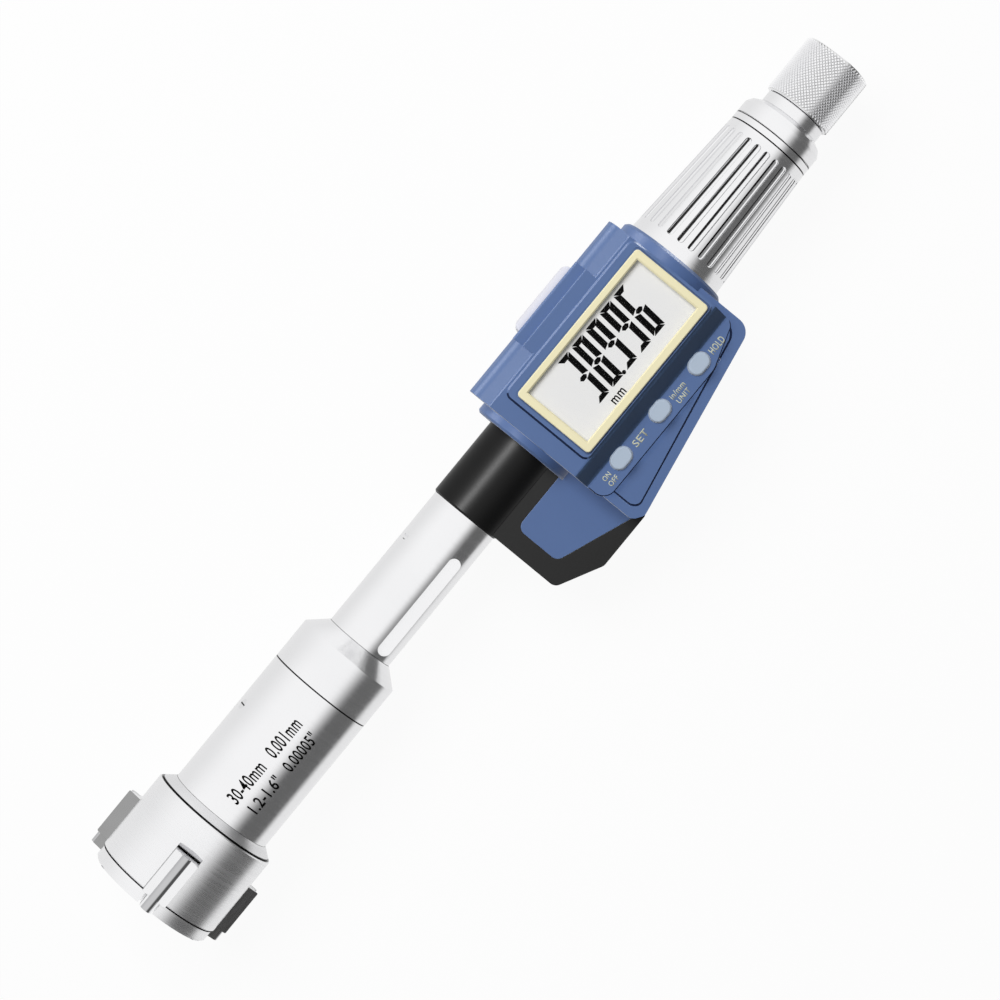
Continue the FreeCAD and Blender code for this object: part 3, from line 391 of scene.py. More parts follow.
def gather(name, *parts):
    """Joins pieces into one object."""
    bpy.ops.object.select_all(action="DESELECT")
    for part in parts:
        part.select_set(True)
    bpy.context.view_layer.objects.active = parts[0]
    bpy.ops.object.join()
    whole = bpy.context.object
    whole.name = name
    return whole


body_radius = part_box("body_sleeve")[1].z / mm
ink_lift = 0.015
ink_depth = 0.03
strip = 0.4
first_strip, last_strip = -16, 4
range_print = gather(
    "range_print",
    lettering("range_metric", "30-40mm", 28.2, -1.95, 3.15, 9.8),
    lettering("step_metric", "0.001mm", 40.5, -1.95, 3.15, 9.1),
    lettering("range_inch", "1.2-1.6\"", 29.1, -6.3, 2.8, 8.7),
    lettering("step_inch", "0.00005\"", 40.3, -6.3, 2.8, 9.1),
)

# The letters are cut into strips, so that they can lie round the body.
bpy.ops.object.mode_set(mode="EDIT")
for k in range(first_strip, last_strip + 1):
    bpy.ops.mesh.select_all(action="SELECT")
    bpy.ops.mesh.bisect(plane_co=(0, k * strip * mm, 0), plane_no=(0, 1, 0))
bpy.ops.mesh.select_all(action="SELECT")
bpy.ops.mesh.extrude_region_move(TRANSFORM_OT_translate={"value": (0, 0, -ink_depth * mm)})
bpy.ops.mesh.select_all(action="SELECT")
bpy.ops.mesh.normals_make_consistent(inside=False)
bpy.ops.object.mode_set(mode="OBJECT")
for point in range_print.data.vertices:
    point.co.z += math.sqrt(((body_radius + ink_lift) * mm) ** 2 - point.co.y ** 2)
dress(range_print, black_ink, "root")


# Shoulder collar, neck tube and guide screw
# The collar is a turned nut with a cone, screwed over the body's end. The neck tube
# has a slot milled into it and a small screw that guides the push rod.

paint(satin_steel, "neck_tube")
guide_screw_steel = add_grain(
    finish_of("satin_guide_screw_steel", (0.88, 0.88, 0.89), 1, 0.2),
    satin_end_grain, (0.17, 0.24), 0.0000006, ((0.84, 0.84, 0.85), (0.90, 0.90, 0.91)),
)
# Painted shade: a grey band along the guide screw's near edge.
screw_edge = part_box("neck_guide_screw")[0].x / mm + 0.1
bands(guide_screw_steel, (0.25, 0.25, 0.25), 0.12, screw_edge)
paint(guide_screw_steel, "neck_guide_screw")
cone_steel = add_grain(
    finish_of("fine_turned_cone_steel", (0.90, 0.90, 0.91), 1, 0.2),
    turned_grain, (0.17, 0.24), 0.0000008, ((0.85, 0.85, 0.86), (0.90, 0.90, 0.91)),
)
# Painted shade: a dark band at the collar's joint and a grey one at the cone's end.
cone_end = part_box("shoulder_collar")[1].x / mm
bands(cone_steel, painted_shade_black, 0.15, collar_joint)
bands(cone_steel, painted_shade_grey, 0.1, cone_end)
dress(eased("shoulder_collar", 0.12), cone_steel, "root")


# Black frame cover and its blue inlay
# The grip sleeve and the wing are one moulding in black plastic with soft edges. The
# inlay is a thin blue plate glued into a shallow pocket in the wing.

black_plastic = add_grain(
    finish_of("moulded_black_plastic", (0.009, 0.009, 0.009), 0, 0.36),
    (5200, 5200, 5200), (0.32, 0.40), 0.000003, ((0.008, 0.008, 0.008), (0.010, 0.010, 0.010)),
)
less_shine(black_plastic, 0.12)
frame_cover = eased("frame_cover", 0.4, 3)
dress(frame_cover, black_plastic, "root")
moulded_grain = (4600, 4600, 4600)
blue_plastic = add_grain(
    finish_of("moulded_blue_plastic", (0.088, 0.155, 0.338), 0, 0.4),
    moulded_grain, (0.34, 0.46), 0.000003, ((0.084, 0.148, 0.325), (0.093, 0.162, 0.351)),
)
less_shine(blue_plastic, 0.35)
side_inlay = eased("side_inlay", 0.2)
dress(side_inlay, blue_plastic, "root")


# Main housing, back cover, screws and battery
# The shell is moulded in blue plastic in one piece with its two round collars. The back
# cover closes it with four countersunk screws, and a lid with a coin slot holds the cell.

main_housing = eased("main_housing", 0.06, 1)
dress(main_housing, blue_plastic, "root")
# A near black blue for painted shade, in the housing's groove and on the front cover.
shaded_blue = add_grain(
    finish_of("blue_plastic_painted_deep_shade", (0.012, 0.022, 0.06), 0, 0.6),
    moulded_grain, (0.55, 0.65), 0.000002, ((0.010, 0.019, 0.054), (0.014, 0.025, 0.066)),
)
less_shine(shaded_blue, 0.1)
main_housing.data.materials.append(shaded_blue)
# Painted shade: the faces in the groove along the housing's lower part take the near black blue.
housing_front = 10.0
groove_depth = 0.3
groove_low = housing_front - groove_depth - 0.02
groove_high = housing_front - 0.08
groove_end = -14.6
for face in main_housing.data.polygons:
    if groove_low < face.center.z / mm < groove_high and face.center.y / mm < groove_end:
        face.material_index = 1
back_cover = eased("back_cover", 0.25)
dress(back_cover, blue_plastic, "root")
battery_lid = eased("battery_lid", 0.2)
dress(battery_lid, black_plastic, "battery_lid")
paint(screw_steel, "housing_screws")
cell = add_grain(
    finish_of("nickel_cell", (0.70, 0.69, 0.66), 1, 0.3),
    even_grain, (0.25, 0.4), 0.000001, ((0.68, 0.67, 0.64), (0.74, 0.73, 0.70)),
)
paint(cell, "battery")


# Data port with its cover
# A pale soft plastic cap plugs the opening in the housing's top, over a block of brass
# contacts.

port_plastic = add_grain(
    finish_of("pale_port_plastic", (0.74, 0.74, 0.80), 0, 0.45),
    moulded_grain, (0.4, 0.5), 0.000002, ((0.72, 0.72, 0.78), (0.77, 0.77, 0.83)),
)
dress(eased("port_cover", 0.2), port_plastic, "port_cover")
contact_brass = add_grain(
    finish_of("contact_brass", (0.80, 0.58, 0.28), 1, 0.3),
    even_grain, (0.25, 0.4), 0.000001, ((0.76, 0.54, 0.25), (0.84, 0.62, 0.32)),
)
paint(contact_brass, "port_contacts")


# Front cover
# The blue front shell carries the display's island, the two tabs at the upper edge with
# the band between them, and the lower panel with the buttons.

def round_edges(piece, radius, segments, test):
    """Bevels the edges whose two ends, in millimetres, pass the test."""
    pick(piece)
    bpy.ops.object.mode_set(mode="EDIT")
    bpy.ops.mesh.select_mode(type="EDGE")
    bpy.ops.mesh.select_all(action="DESELECT")
    bpy.ops.object.mode_set(mode="OBJECT")
    for edge in piece.data.edges:
        a, b = (piece.data.vertices[k].co / mm for k in edge.vertices)
        edge.select = test(a, b)
    bpy.ops.object.mode_set(mode="EDIT")
    bpy.ops.mesh.bevel(offset=radius * mm, segments=segments, affect="EDGES")
    bpy.ops.object.mode_set(mode="OBJECT")


front_cover = merged("front_cover")

# The cover's faces, the bezel's seat and the zone of the button holes, with a hair's
# breadth of slack for comparing places.
hair = 0.01
cover_face = 16.0
island_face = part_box("front_cover")[1].z / mm
seat_left, seat_right, seat_low, seat_high = 129.85, 169.65, -12.15, 7.75
seat_floor = 15.5
clear_x, clear_y = 0.05, 0.04
tab_line = 10.3
band_line = 12.4
past_band = 0.2
button_panel_face = 12.5
panel_top, panel_edge_top = -16.2, -17
holes_left, holes_right, holes_low = 130, 163.5, -20.2


def on_island_rim(corner):
    """True on the outline of the raised island, outside the bezel's seat."""
    beside = corner.x < seat_left - clear_x
    above_or_below = corner.y > seat_high + clear_y or corner.y < seat_low - clear_y
    return corner.z > island_face - hair and (beside or above_or_below)


def on_tab_line(corner):
    """True where the panel's face ends at the two lower tabs and beside the band."""
    return abs(corner.z - cover_face) < hair and tab_line - hair < corner.y < band_line + past_band


def off_the_holes(x, y):
    """True on the lower panel's outer parts, away from the button holes."""
    return y < holes_low or x > holes_right or x < holes_left


def on_panel_edge(corner):
    """True on the outline of the lower panel."""
    level = abs(corner.z - button_panel_face) < hair
    return level and corner.y < panel_top and off_the_holes(corner.x, corner.y)


for width, on_line, line in (
    (0.2, on_panel_edge, panel_edge_top),
    (0.42, on_island_rim, math.inf),
    (0.28, on_tab_line, band_line),
):
    round_edges(front_cover, width, 1, lambda a, b: on_line(a) and on_line(b) and min(a.y, b.y) < line)
ease(front_cover, 0.12, angle=50)
dress(front_cover, blue_plastic, "root")
front_cover.data.materials.append(shaded_blue)
# A darker blue for the painted shade on the slope over the buttons.
painted_slope_shade = add_grain(
    finish_of("blue_plastic_painted_slope_shade", (0.05, 0.085, 0.16), 0, 0.6),
    moulded_grain, (0.55, 0.65), 0.000002, ((0.047, 0.080, 0.150), (0.053, 0.090, 0.170)),
)
less_shine(painted_slope_shade, 0.15)
front_cover.data.materials.append(painted_slope_shade)
# Painted shade: the slope over the buttons takes a darker blue. The walls beside the bezel, the left wall of
# the island and the rim of the lower panel take the near black one.
slope_low, slope_high = -16.0, -12.3
edge_low, edge_high = 12.3, 12.499
upright_limit, slope_limit, level_limit = 0.5, 0.3, 0.97
near_seat = 0.1
wall_top = island_face - 0.05
for face in front_cover.data.polygons:
    x, y, z = face.center / mm
    at_seat = seat_left - near_seat < x < seat_right and seat_low - near_seat < y < seat_high + near_seat
    on_seat_wall = at_seat and seat_floor < z < wall_top and abs(face.normal.z) < upright_limit
    on_left_wall = x < seat_left and cover_face < z < island_face and face.normal.x < -upright_limit
    on_panel_rim = edge_low < z < edge_high and face.normal.z < level_limit and y < slope_low
    if slope_low < y < slope_high and face.normal.y < -slope_limit:
        face.material_index = 2
    elif on_seat_wall or on_left_wall or on_panel_rim and off_the_holes(x, y):
        face.material_index = 1


# Display: bezel, window, liquid crystal panel and board
# The cream bezel snaps into the island and clamps the clear window. Behind it lies the
# pale glass panel, whose digits are seven-segment bars leaning a little to the right.

cream_plastic = add_grain(
    finish_of("cream_bezel_plastic", (0.97, 0.90, 0.60), 0, 0.4),
    moulded_grain, (0.34, 0.46), 0.000002, ((0.95, 0.88, 0.57), (0.98, 0.91, 0.62)),
)


def block(name, low, high):
    """A cube between two corners in millimetres, ready to be shaped."""
    bpy.ops.object.select_all(action="DESELECT")
    bpy.ops.mesh.primitive_cube_add(size=mm, location=[(a + b) / 2 * mm for a, b in zip(low, high)])
    piece = bpy.context.object
    piece.name = name
    piece.scale = [b - a for a, b in zip(low, high)]
    bpy.ops.object.transform_apply(location=True, rotation=True, scale=True)
    return piece


def cut(piece, tool):
    """Cuts a tool out of a piece and throws the tool away."""
    pick(piece)
    saw = piece.modifiers.new("cut", "BOOLEAN")
    saw.operation = "DIFFERENCE"
    saw.solver = "EXACT"
    saw.object = tool
    bpy.ops.object.modifier_apply(modifier=saw.name)
    bpy.data.objects.remove(tool)


bezel_low, bezel_high = (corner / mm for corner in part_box("display_bezel"))
window_low, window_high = (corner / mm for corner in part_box("display_window"))
bezel_seam = 0.2
bezel_width = 2.05
bezel_top_width = 1.85
window_play = 0.05
overshoot = 1
bezel = block(
    "display_bezel_finished",
    (bezel_low.x + bezel_seam, bezel_low.y + bezel_seam, bezel_low.z),
    (bezel_high.x - bezel_seam, bezel_high.y - bezel_seam, bezel_high.z),
)
opening_left, opening_right = bezel_low.x + bezel_width, bezel_high.x - bezel_width
opening_low, opening_high = bezel_low.y + bezel_width, bezel_high.y - bezel_top_width


def upright(a, b):
    """True on an edge that runs more than a millimetre in depth."""
    return abs(a.z - b.z) > 1


round_edges(bezel, 0.9, 5, upright)
round_edges(bezel, 0.25, 3, lambda a, b: min(a.z, b.z) > bezel_high.z - hair)
cut(bezel, block(
    "bezel_opening",
    (opening_left, opening_low, bezel_low.z - overshoot),
    (opening_right, opening_high, bezel_high.z + overshoot),
))
cut(bezel, block(
    "window_rebate",
    (window_low.x - window_play, window_low.y - window_play, bezel_low.z - overshoot),
    (window_high.x + window_play, window_high.y + window_play, window_high.z),
))


def inside_opening(corner):
    """True on the opening's edge at the bezel's front."""
    across = opening_left - hair < corner.x < opening_right + hair
    within = opening_low - hair < corner.y < opening_high + hair
    return corner.z > bezel_high.z - hair and across and within


round_edges(bezel, 0.3, 1, lambda a, b: inside_opening(a) and inside_opening(b))
smoothed(bezel)
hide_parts("display_bezel")
dress(bezel, cream_plastic, "root")
window = finish_of("clear_window", (0.05, 0.05, 0.05), 0, 0.05)
window.node_tree.nodes["Principled BSDF"].inputs["Alpha"].default_value = 0.02
paint(window, "display_window")
crystal = add_grain(
    finish_of("liquid_crystal_panel", (0.98, 0.98, 0.98), 0, 0.5),
    even_grain, (0.45, 0.55), 0.0000005, ((0.97, 0.97, 0.97), (0.99, 0.99, 0.99)),
)
paint(crystal, "lcd_panel")
board = add_grain(
    finish_of("green_board", (0.02, 0.10, 0.04), 0, 0.4),
    even_grain, (0.35, 0.5), 0.000002, ((0.018, 0.09, 0.035), (0.025, 0.12, 0.05)),
)
paint(board, "display_board")
key_board = merged("key_board")
board_low, board_high = (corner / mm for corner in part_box("key_board"))
board_corner_x = board_high.x - 0.1
board_corner_y = board_low.y + 0.1
round_edges(key_board, 2.6, 1, lambda a, b: min(a.x, b.x) > board_corner_x and max(a.y, b.y) < board_corner_y)
smoothed(key_board)
dress(key_board, board, "root")

# Each digit's middle along the tool and its lit bars.
digits_shown = (
    (141.7, "abcdg"), (146.2, "abcdefg"), (150.7, "abcdfg"), (155.2, "abcdfg"), (159.7, "acdefg"),
)
digit_low = -7.0
digit_height = 11.9
digit_width = 3.5
side_bar_width = 1.38
level_bar_width = 1.08
bar_gap = 0.17
corner_cut = 1.0
waist_cut = 0.5
waist_bar = (1.0, 0.6, 1)
point_radius = 0.45
point_place = (147.85 * mm, -6.75 * mm, 0)
digit_lean = math.tan(math.radians(4.5))
panel_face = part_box("lcd_panel")[1].z / mm
ink_thickness = 0.02
same_place = 0.000001


def bar(x, y, length, width, angle, low_end, high_end):
    """A bar of a digit, made with its outer edge up and its inner one cut back, then turned."""
    bpy.ops.object.select_all(action="DESELECT")
    bpy.ops.mesh.primitive_plane_add(size=mm)
    piece = bpy.context.object
    piece.scale = (length - 2 * bar_gap, width, 1)
    bpy.ops.object.transform_apply(location=False, rotation=False, scale=True)
    for point in piece.data.vertices:
        if point.co.y < 0:
            point.co.x += low_end * mm if point.co.x < 0 else -high_end * mm
    piece.rotation_euler = (0, 0, math.radians(angle))
    piece.location = (x * mm, y * mm, 0)
    bpy.ops.object.transform_apply(location=True, rotation=True, scale=True)
    return piece


def middle_bar(x, y):
    """The short six-sided bar between the two halves of a digit."""
    bpy.ops.object.select_all(action="DESELECT")
    bpy.ops.mesh.primitive_circle_add(vertices=6, radius=mm, fill_type="NGON")
    piece = bpy.context.object
    piece.rotation_euler = (0, 0, math.radians(30))
    bpy.ops.object.transform_apply(location=False, rotation=True, scale=False)
    piece.scale = waist_bar
    piece.location = (x * mm, y * mm, 0)
    bpy.ops.object.transform_apply(location=True, rotation=True, scale=True)
    return piece


def digit(middle, lit):
    """The lit bars of one digit, named a to g from the top round to the middle."""
    half = digit_height / 2
    side = (digit_width - side_bar_width) / 2
    top = digit_low + digit_height - level_bar_width / 2
    bottom = digit_low + level_bar_width / 2
    upper = digit_low + half * 1.5
    lower = digit_low + half * 0.5
    made = {
        "a": lambda: bar(middle, top, digit_width, level_bar_width, 0, corner_cut, corner_cut),
        "b": lambda: bar(middle + side, upper, half, side_bar_width, -90, corner_cut, waist_cut),
        "c": lambda: bar(middle + side, lower, half, side_bar_width, -90, waist_cut, corner_cut),
        "d": lambda: bar(middle, bottom, digit_width, level_bar_width, 180, corner_cut, corner_cut),
        "e": lambda: bar(middle - side, lower, half, side_bar_width, 90, corner_cut, waist_cut),
        "f": lambda: bar(middle - side, upper, half, side_bar_width, 90, waist_cut, corner_cut),
        "g": lambda: middle_bar(middle, digit_low + half),
    }
    return [made[key]() for key in lit]


shown_bars = []
for middle, lit in digits_shown:
    shown_bars += digit(middle - digit_height / 2 * digit_lean, lit)
bpy.ops.object.select_all(action="DESELECT")
bpy.ops.mesh.primitive_circle_add(
    vertices=20, radius=point_radius * mm, fill_type="NGON", location=point_place,
)
shown_bars.append(bpy.context.object)
bpy.ops.object.transform_apply(location=True, rotation=True, scale=True)
display_digits = gather("display_digits", *shown_bars)
for point in display_digits.data.vertices:
    point.co.x += (point.co.y - digit_low * mm) * digit_lean
display_unit = lettering("display_unit", "mm", 141.6, -9.75, 1.45, 3.6)
display_digits = gather("display_digits", display_digits, display_unit)


def print_flat(piece, face):
    """Gives flat print its thickness and lays it on a face at a height."""
    pick(piece)
    bpy.ops.object.mode_set(mode="EDIT")
    bpy.ops.mesh.select_all(action="SELECT")
    bpy.ops.mesh.remove_doubles(threshold=same_place)
    bpy.ops.mesh.extrude_region_move(TRANSFORM_OT_translate={"value": (0, 0, ink_thickness * mm)})
    bpy.ops.mesh.select_all(action="SELECT")
    bpy.ops.mesh.normals_make_consistent(inside=False)
    bpy.ops.transform.translate(value=(0, 0, (face - ink_thickness / 4) * mm))
    bpy.ops.object.mode_set(mode="OBJECT")


print_flat(display_digits, panel_face)
dress(display_digits, black_ink, "root")


# Buttons, their domes and board, and the printed labels
# Three pale plastic keys stand in the panel over rubber domes. Their uses are printed
# beside them in cream, in plain words.

button_plastic = add_grain(
    finish_of("pale_button_plastic", (0.48, 0.57, 0.69), 0, 0.4),
    moulded_grain, (0.36, 0.48), 0.000002, ((0.47, 0.56, 0.68), (0.49, 0.58, 0.70)),
)
button_cap_height = 3.7
lip_thickness = 0.7
end_flat = 0.02
short_edge = 0.06
facing_front = 0.9
button_low, button_high = (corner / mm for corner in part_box("power_button"))
button_height = button_high.y - button_low.y
lip_top = button_low.z + lip_thickness
button = block("power_button_finished", button_low, (button_high.x, button_high.y, lip_top))
round_edges(button, button_height / 2 - end_flat, 8, lambda a, b: abs(a.z - b.z) > lip_thickness / 2)

# The rounding leaves edges too short for the inset, and merging takes them away.
bpy.ops.object.mode_set(mode="EDIT")
bpy.ops.mesh.select_all(action="SELECT")
bpy.ops.mesh.remove_doubles(threshold=short_edge * mm)
bpy.ops.mesh.select_mode(type="FACE")
bpy.ops.mesh.select_all(action="DESELECT")
bpy.ops.object.mode_set(mode="OBJECT")
for face in button.data.polygons:
    face.select = face.normal.z > facing_front
bpy.ops.object.mode_set(mode="EDIT")
bpy.ops.mesh.inset(thickness=(button_height - button_cap_height) / 2 * mm)
bpy.ops.mesh.extrude_region_move(
    TRANSFORM_OT_translate={"value": (0, 0, (button_high.z - button_low.z - lip_thickness) * mm)},
)
bpy.ops.object.mode_set(mode="OBJECT")
round_edges(button, 0.45, 3, lambda a, b: min(a.z, b.z) > button_high.z - hair)
smoothed(button)
for name in ("units_button", "hold_button"):
    copy = duplicate(button)
    copy.name = name + "_finished"
    copy.location = (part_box(name)[0].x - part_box("power_button")[0].x, 0, 0)
    bpy.ops.object.transform_apply(location=True, rotation=False, scale=False)
    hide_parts(name)
    dress(copy, button_plastic, name)
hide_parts("power_button")
dress(button, button_plastic, "power_button")
rubber = add_grain(
    finish_of("dome_rubber", (0.30, 0.30, 0.30), 0, 0.7),
    even_grain, (0.65, 0.8), 0.000003, ((0.28, 0.28, 0.28), (0.33, 0.33, 0.33)),
)
paint(rubber, "key_domes")
cream_ink = add_grain(
    finish_of("cream_ink", (0.62, 0.64, 0.50), 0, 0.5),
    ink_grain, (0.45, 0.6), 0.0000005, ((0.58, 0.60, 0.46), (0.66, 0.68, 0.54)),
)
panel_print = gather(
    "panel_print",
    lettering("label_on", "ON", 128.1, -18.3, 1.2, 2.0),
    lettering("label_off", "OFF", 128.1, -19.9, 1.2, 2.5),
    lettering("label_set", "SET", 137.7, -18.8, 1.6, 4.0),
    lettering("label_units", "in/mm", 150.0, -18.3, 1.35, 4.2),
    lettering("label_unit_word", "UNIT", 150.3, -19.9, 1.2, 3.6),
    lettering("label_hold", "HOLD", 162.5, -18.8, 1.6, 4.0),
)
print_flat(panel_print, button_panel_face)
dress(panel_print, cream_ink, "root")


# Spindle, encoder, guide sleeve and adjusting nut
# The ground spindle turns in the guide sleeve's nut thread. Its encoder disc and the
# fixed disc behind it are fibreglass boards, and a slotted nut takes up the thread's play.

paint(inner_steel, "spindle", "guide_sleeve", "adjusting_nut")
paint(board, "encoder_rotor", "encoder_stator")


# Thimble
# A tapered steel sleeve, satin chromed, with 25 flutes milled along it for the grip. Each
# flute has a flat floor, rounded ends and a small radius at the foot of its walls.

def turn(name, profile, segments):
    """A turned ring: a circle drawn out through (station, radius) corners and closed."""
    bpy.ops.object.select_all(action="DESELECT")
    x, r = profile[0]
    bpy.ops.mesh.primitive_circle_add(
        vertices=segments, radius=r * mm, location=(x * mm, 0, 0), rotation=(0, math.radians(90), 0),
    )
    piece = bpy.context.object
    piece.name = name
    bpy.ops.object.transform_apply(location=True, rotation=True, scale=True)
    bpy.ops.object.mode_set(mode="EDIT")
    bpy.ops.mesh.select_all(action="SELECT")
    for station, radius in profile[1:] + profile[:1]:
        bpy.ops.mesh.extrude_region_move(TRANSFORM_OT_translate={"value": ((station - x) * mm, 0, 0)})
        bpy.ops.transform.resize(value=(1, radius / r, radius / r), center_override=(station * mm, 0, 0))
        x, r = station, radius
    bpy.ops.mesh.select_all(action="SELECT")
    bpy.ops.mesh.remove_doubles(threshold=same_place)
    bpy.ops.mesh.normals_make_consistent(inside=False)
    bpy.ops.object.mode_set(mode="OBJECT")
    return piece


def round_about(piece, count, turn_each):
    """Copies of a piece about the tool's axis, the piece itself among them."""
    copies = [piece]
    for k in range(1, count):
        copy = duplicate(piece)
        copy.rotation_euler = (math.radians(turn_each * k), 0, 0)
        bpy.ops.object.transform_apply(location=False, rotation=True, scale=False)
        copies.append(copy)
    return copies


thimble_low, thimble_high = (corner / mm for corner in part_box("thimble"))
mouth_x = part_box("main_housing")[1].x / mm
thimble_radius = thimble_high.z
thimble_end_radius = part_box("thimble_cap")[1].z / mm
thimble_bore = 8.3
spindle_bore = 4.0
thimble_wall = 3.9
mouth_edge = 0.3
end_edge = 0.15
end_taper = 0.05
end_x = thimble_high.x
thimble = turn("thimble_finished", [
    (thimble_low.x, thimble_bore),
    (thimble_low.x, thimble_radius - mouth_edge),
    (thimble_low.x + mouth_edge, thimble_radius),
    (mouth_x, thimble_radius),
    (end_x - end_edge, thimble_end_radius + end_edge * end_taper),
    (end_x, thimble_end_radius - end_edge),
    (end_x, spindle_bore),
    (end_x - thimble_wall, spindle_bore),
    (end_x - thimble_wall, thimble_bore),
], 200)
flute_count = 25
flute_start = 2.8
flute_length = 26.3
flute_width = 1.5
flute_depth = 0.6
flute_foot = 0.38
flute = block(
    "flute_tool", (flute_start, -flute_width / 2, -flute_depth),
    (flute_start + flute_length, flute_width / 2, overshoot),
)
round_edges(flute, flute_width / 2 - end_flat, 5, upright)
round_edges(flute, flute_foot, 3, lambda a, b: max(a.z, b.z) < -flute_depth + hair)
flute.rotation_euler = (0, math.atan((thimble_radius - thimble_end_radius) / (end_x - mouth_x)), 0)
flute.location = (mouth_x * mm, 0, thimble_radius * mm)
bpy.ops.object.transform_apply(location=True, rotation=True, scale=True)
flute_phase = math.radians(6.2)
flute.rotation_euler = (flute_phase, 0, 0)
bpy.ops.object.transform_apply(location=True, rotation=True, scale=True)
cut(thimble, gather("flute_tools", *round_about(flute, flute_count, 360 / flute_count)))
smoothed(thimble, 32)
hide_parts("thimble")

# Painted shade: a dark line along the upper wall of each flute, fading towards the lit side.
fluted_steel = satin_steel.copy()
fluted_steel.name = "fluted_thimble_steel"
flute_line_low = flute_width / 2 - 0.62
flute_line_high = flute_width / 2 - 0.09
flute_line_start = mouth_x + flute_start + 0.2
flute_line_end = mouth_x + flute_start + flute_length - 0.2
shade_fade_from, shade_fade_to, shade_fade_level = math.radians(26), math.radians(34), 0.12
tree = fluted_steel.node_tree
spot = own_place(tree)
turned_by = math_node(tree, "ARCTAN2", spot["Y"], spot["Z"])
half_pitch = math.pi / flute_count
in_pitch = math_node(tree, "WRAP", math_node(tree, "ADD", turned_by, flute_phase), -half_pitch, half_pitch)
along_wall = math_node(tree, "MULTIPLY", in_pitch, (thimble_radius + thimble_end_radius) / 2 * mm)
upper_wall = math_node(tree, "GREATER_THAN", along_wall, flute_line_low * mm)
within = math_node(tree, "LESS_THAN", along_wall, flute_line_high * mm)
past_start = math_node(tree, "GREATER_THAN", spot["X"], flute_line_start * mm)
before_end = math_node(tree, "LESS_THAN", spot["X"], flute_line_end * mm)
line = map_range(tree, turned_by, (shade_fade_from, shade_fade_to), (1, shade_fade_level))
for mask in (upper_wall, within, past_start, before_end):
    line = math_node(tree, "MULTIPLY", line, mask)
tint(fluted_steel, line, (0.03, 0.03, 0.03))
dress(thimble, fluted_steel, "thimble")


# Thimble cap
# A turned cap with a fine ring groove and a domed shoulder clamps the thimble to the
# spindle. It has the thimble's satin chrome.

paint(satin_steel, "thimble_cap")


# Ratchet: stem, knurled knob, spring and end screw
# The knob slips on the stem when the anvils meet the bore. Its grip is a fine diamond
# knurl rolled into the steel, and a slotted screw holds it with its spring.

paint(satin_steel, "ratchet_stem")
paint(spring_steel, "ratchet_spring")
paint(screw_steel, "ratchet_end_screw")
knob_low, knob_high = (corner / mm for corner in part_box("ratchet_knob"))
knob_radius = knob_high.z
knurl_depth = 0.28
knurl_count = 60
knurl_pitch = 0.9
knurl_land = 0.6
knurl_sink = 0.04
knob_edge = 0.45
knob_bore = 3.05
recess_radius = 5.2
recess_depth = 6.5
root = knob_radius - knurl_depth
knob = turn("ratchet_knob_finished", [
    (knob_low.x, knob_bore),
    (knob_low.x, knob_radius - knob_edge),
    (knob_low.x + knob_edge - knurl_depth, root),
    (knob_high.x - knob_edge + knurl_depth, root),
    (knob_high.x, knob_radius - knob_edge),
    (knob_high.x, recess_radius),
    (knob_high.x - recess_depth, recess_radius),
    (knob_high.x - recess_depth, knob_bore),
], 96)
half_angle = math.pi / knurl_count
diamond_depth = knurl_depth + knurl_sink
bpy.ops.object.select_all(action="DESELECT")
bpy.ops.mesh.primitive_cone_add(
    vertices=4, radius1=mm, radius2=knurl_land * mm, depth=diamond_depth * mm,
    location=(0, 0, (knob_radius - diamond_depth / 2) * mm),
)
diamond = bpy.context.object
diamond.name = "knurl_diamond"
diamond.scale = (knurl_pitch / 2, half_angle * root, 1)
bpy.ops.object.transform_apply(location=True, rotation=True, scale=True)
run = knob_high.x - knob_low.x - 2 * knob_edge
steps = int(run / knurl_pitch)
start = (knob_low.x + knob_high.x) / 2 - (steps - 1) * knurl_pitch / 2


def row_of(piece, count, pitch):
    """Applies an array along the tool's axis."""
    pick(piece)
    array = piece.modifiers.new("row", "ARRAY")
    array.count = count
    array.use_relative_offset = False
    array.use_constant_offset = True
    array.constant_offset_displace = (pitch * mm, 0, 0)
    bpy.ops.object.modifier_apply(modifier=array.name)


between = duplicate(diamond)
between.rotation_euler = (half_angle, 0, 0)
between.location = ((start - knurl_pitch / 2) * mm, 0, 0)
bpy.ops.object.transform_apply(location=True, rotation=True, scale=True)
diamond.location = (start * mm, 0, 0)
pick(diamond)
bpy.ops.object.transform_apply(location=True, rotation=True, scale=True)
row_of(diamond, steps, knurl_pitch)
row_of(between, steps + 1, knurl_pitch)
rows = gather("knurl_rows", diamond, between)
knob = gather("ratchet_knob_finished", knob, *round_about(rows, knurl_count, 360 / knurl_count))
bpy.ops.object.shade_smooth_by_angle(angle=math.radians(20))
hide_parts("ratchet_knob")
knurled_steel = add_grain(
    finish_of("knurled_steel", (0.94, 0.94, 0.95), 1, 0.2),
    (3000, 3000, 3000), (0.17, 0.24), 0.0000006, ((0.92, 0.92, 0.93), (0.96, 0.96, 0.97)),
)
# Painted shade: the valleys of the knurl are darker than the tops of its diamonds.
valley_low = (root + 0.02) * mm
valley_high = (root + 0.12) * mm
grip_low = (root - 0.02) * mm
tree = knurled_steel.node_tree
spot = own_place(tree)
squares = [math_node(tree, "POWER", spot[axis], 2) for axis in "YZ"]
off_axis = math_node(tree, "SQRT", math_node(tree, "ADD", *squares))
painted_valley_shade = map_range(tree, off_axis, (valley_low, valley_high), (1, 0))
in_grip = math_node(tree, "GREATER_THAN", off_axis, grip_low)
tint(knurled_steel, math_node(tree, "MULTIPLY", painted_valley_shade, in_grip), (0.74, 0.74, 0.74))
dress(knob, knurled_steel, "ratchet_knob")


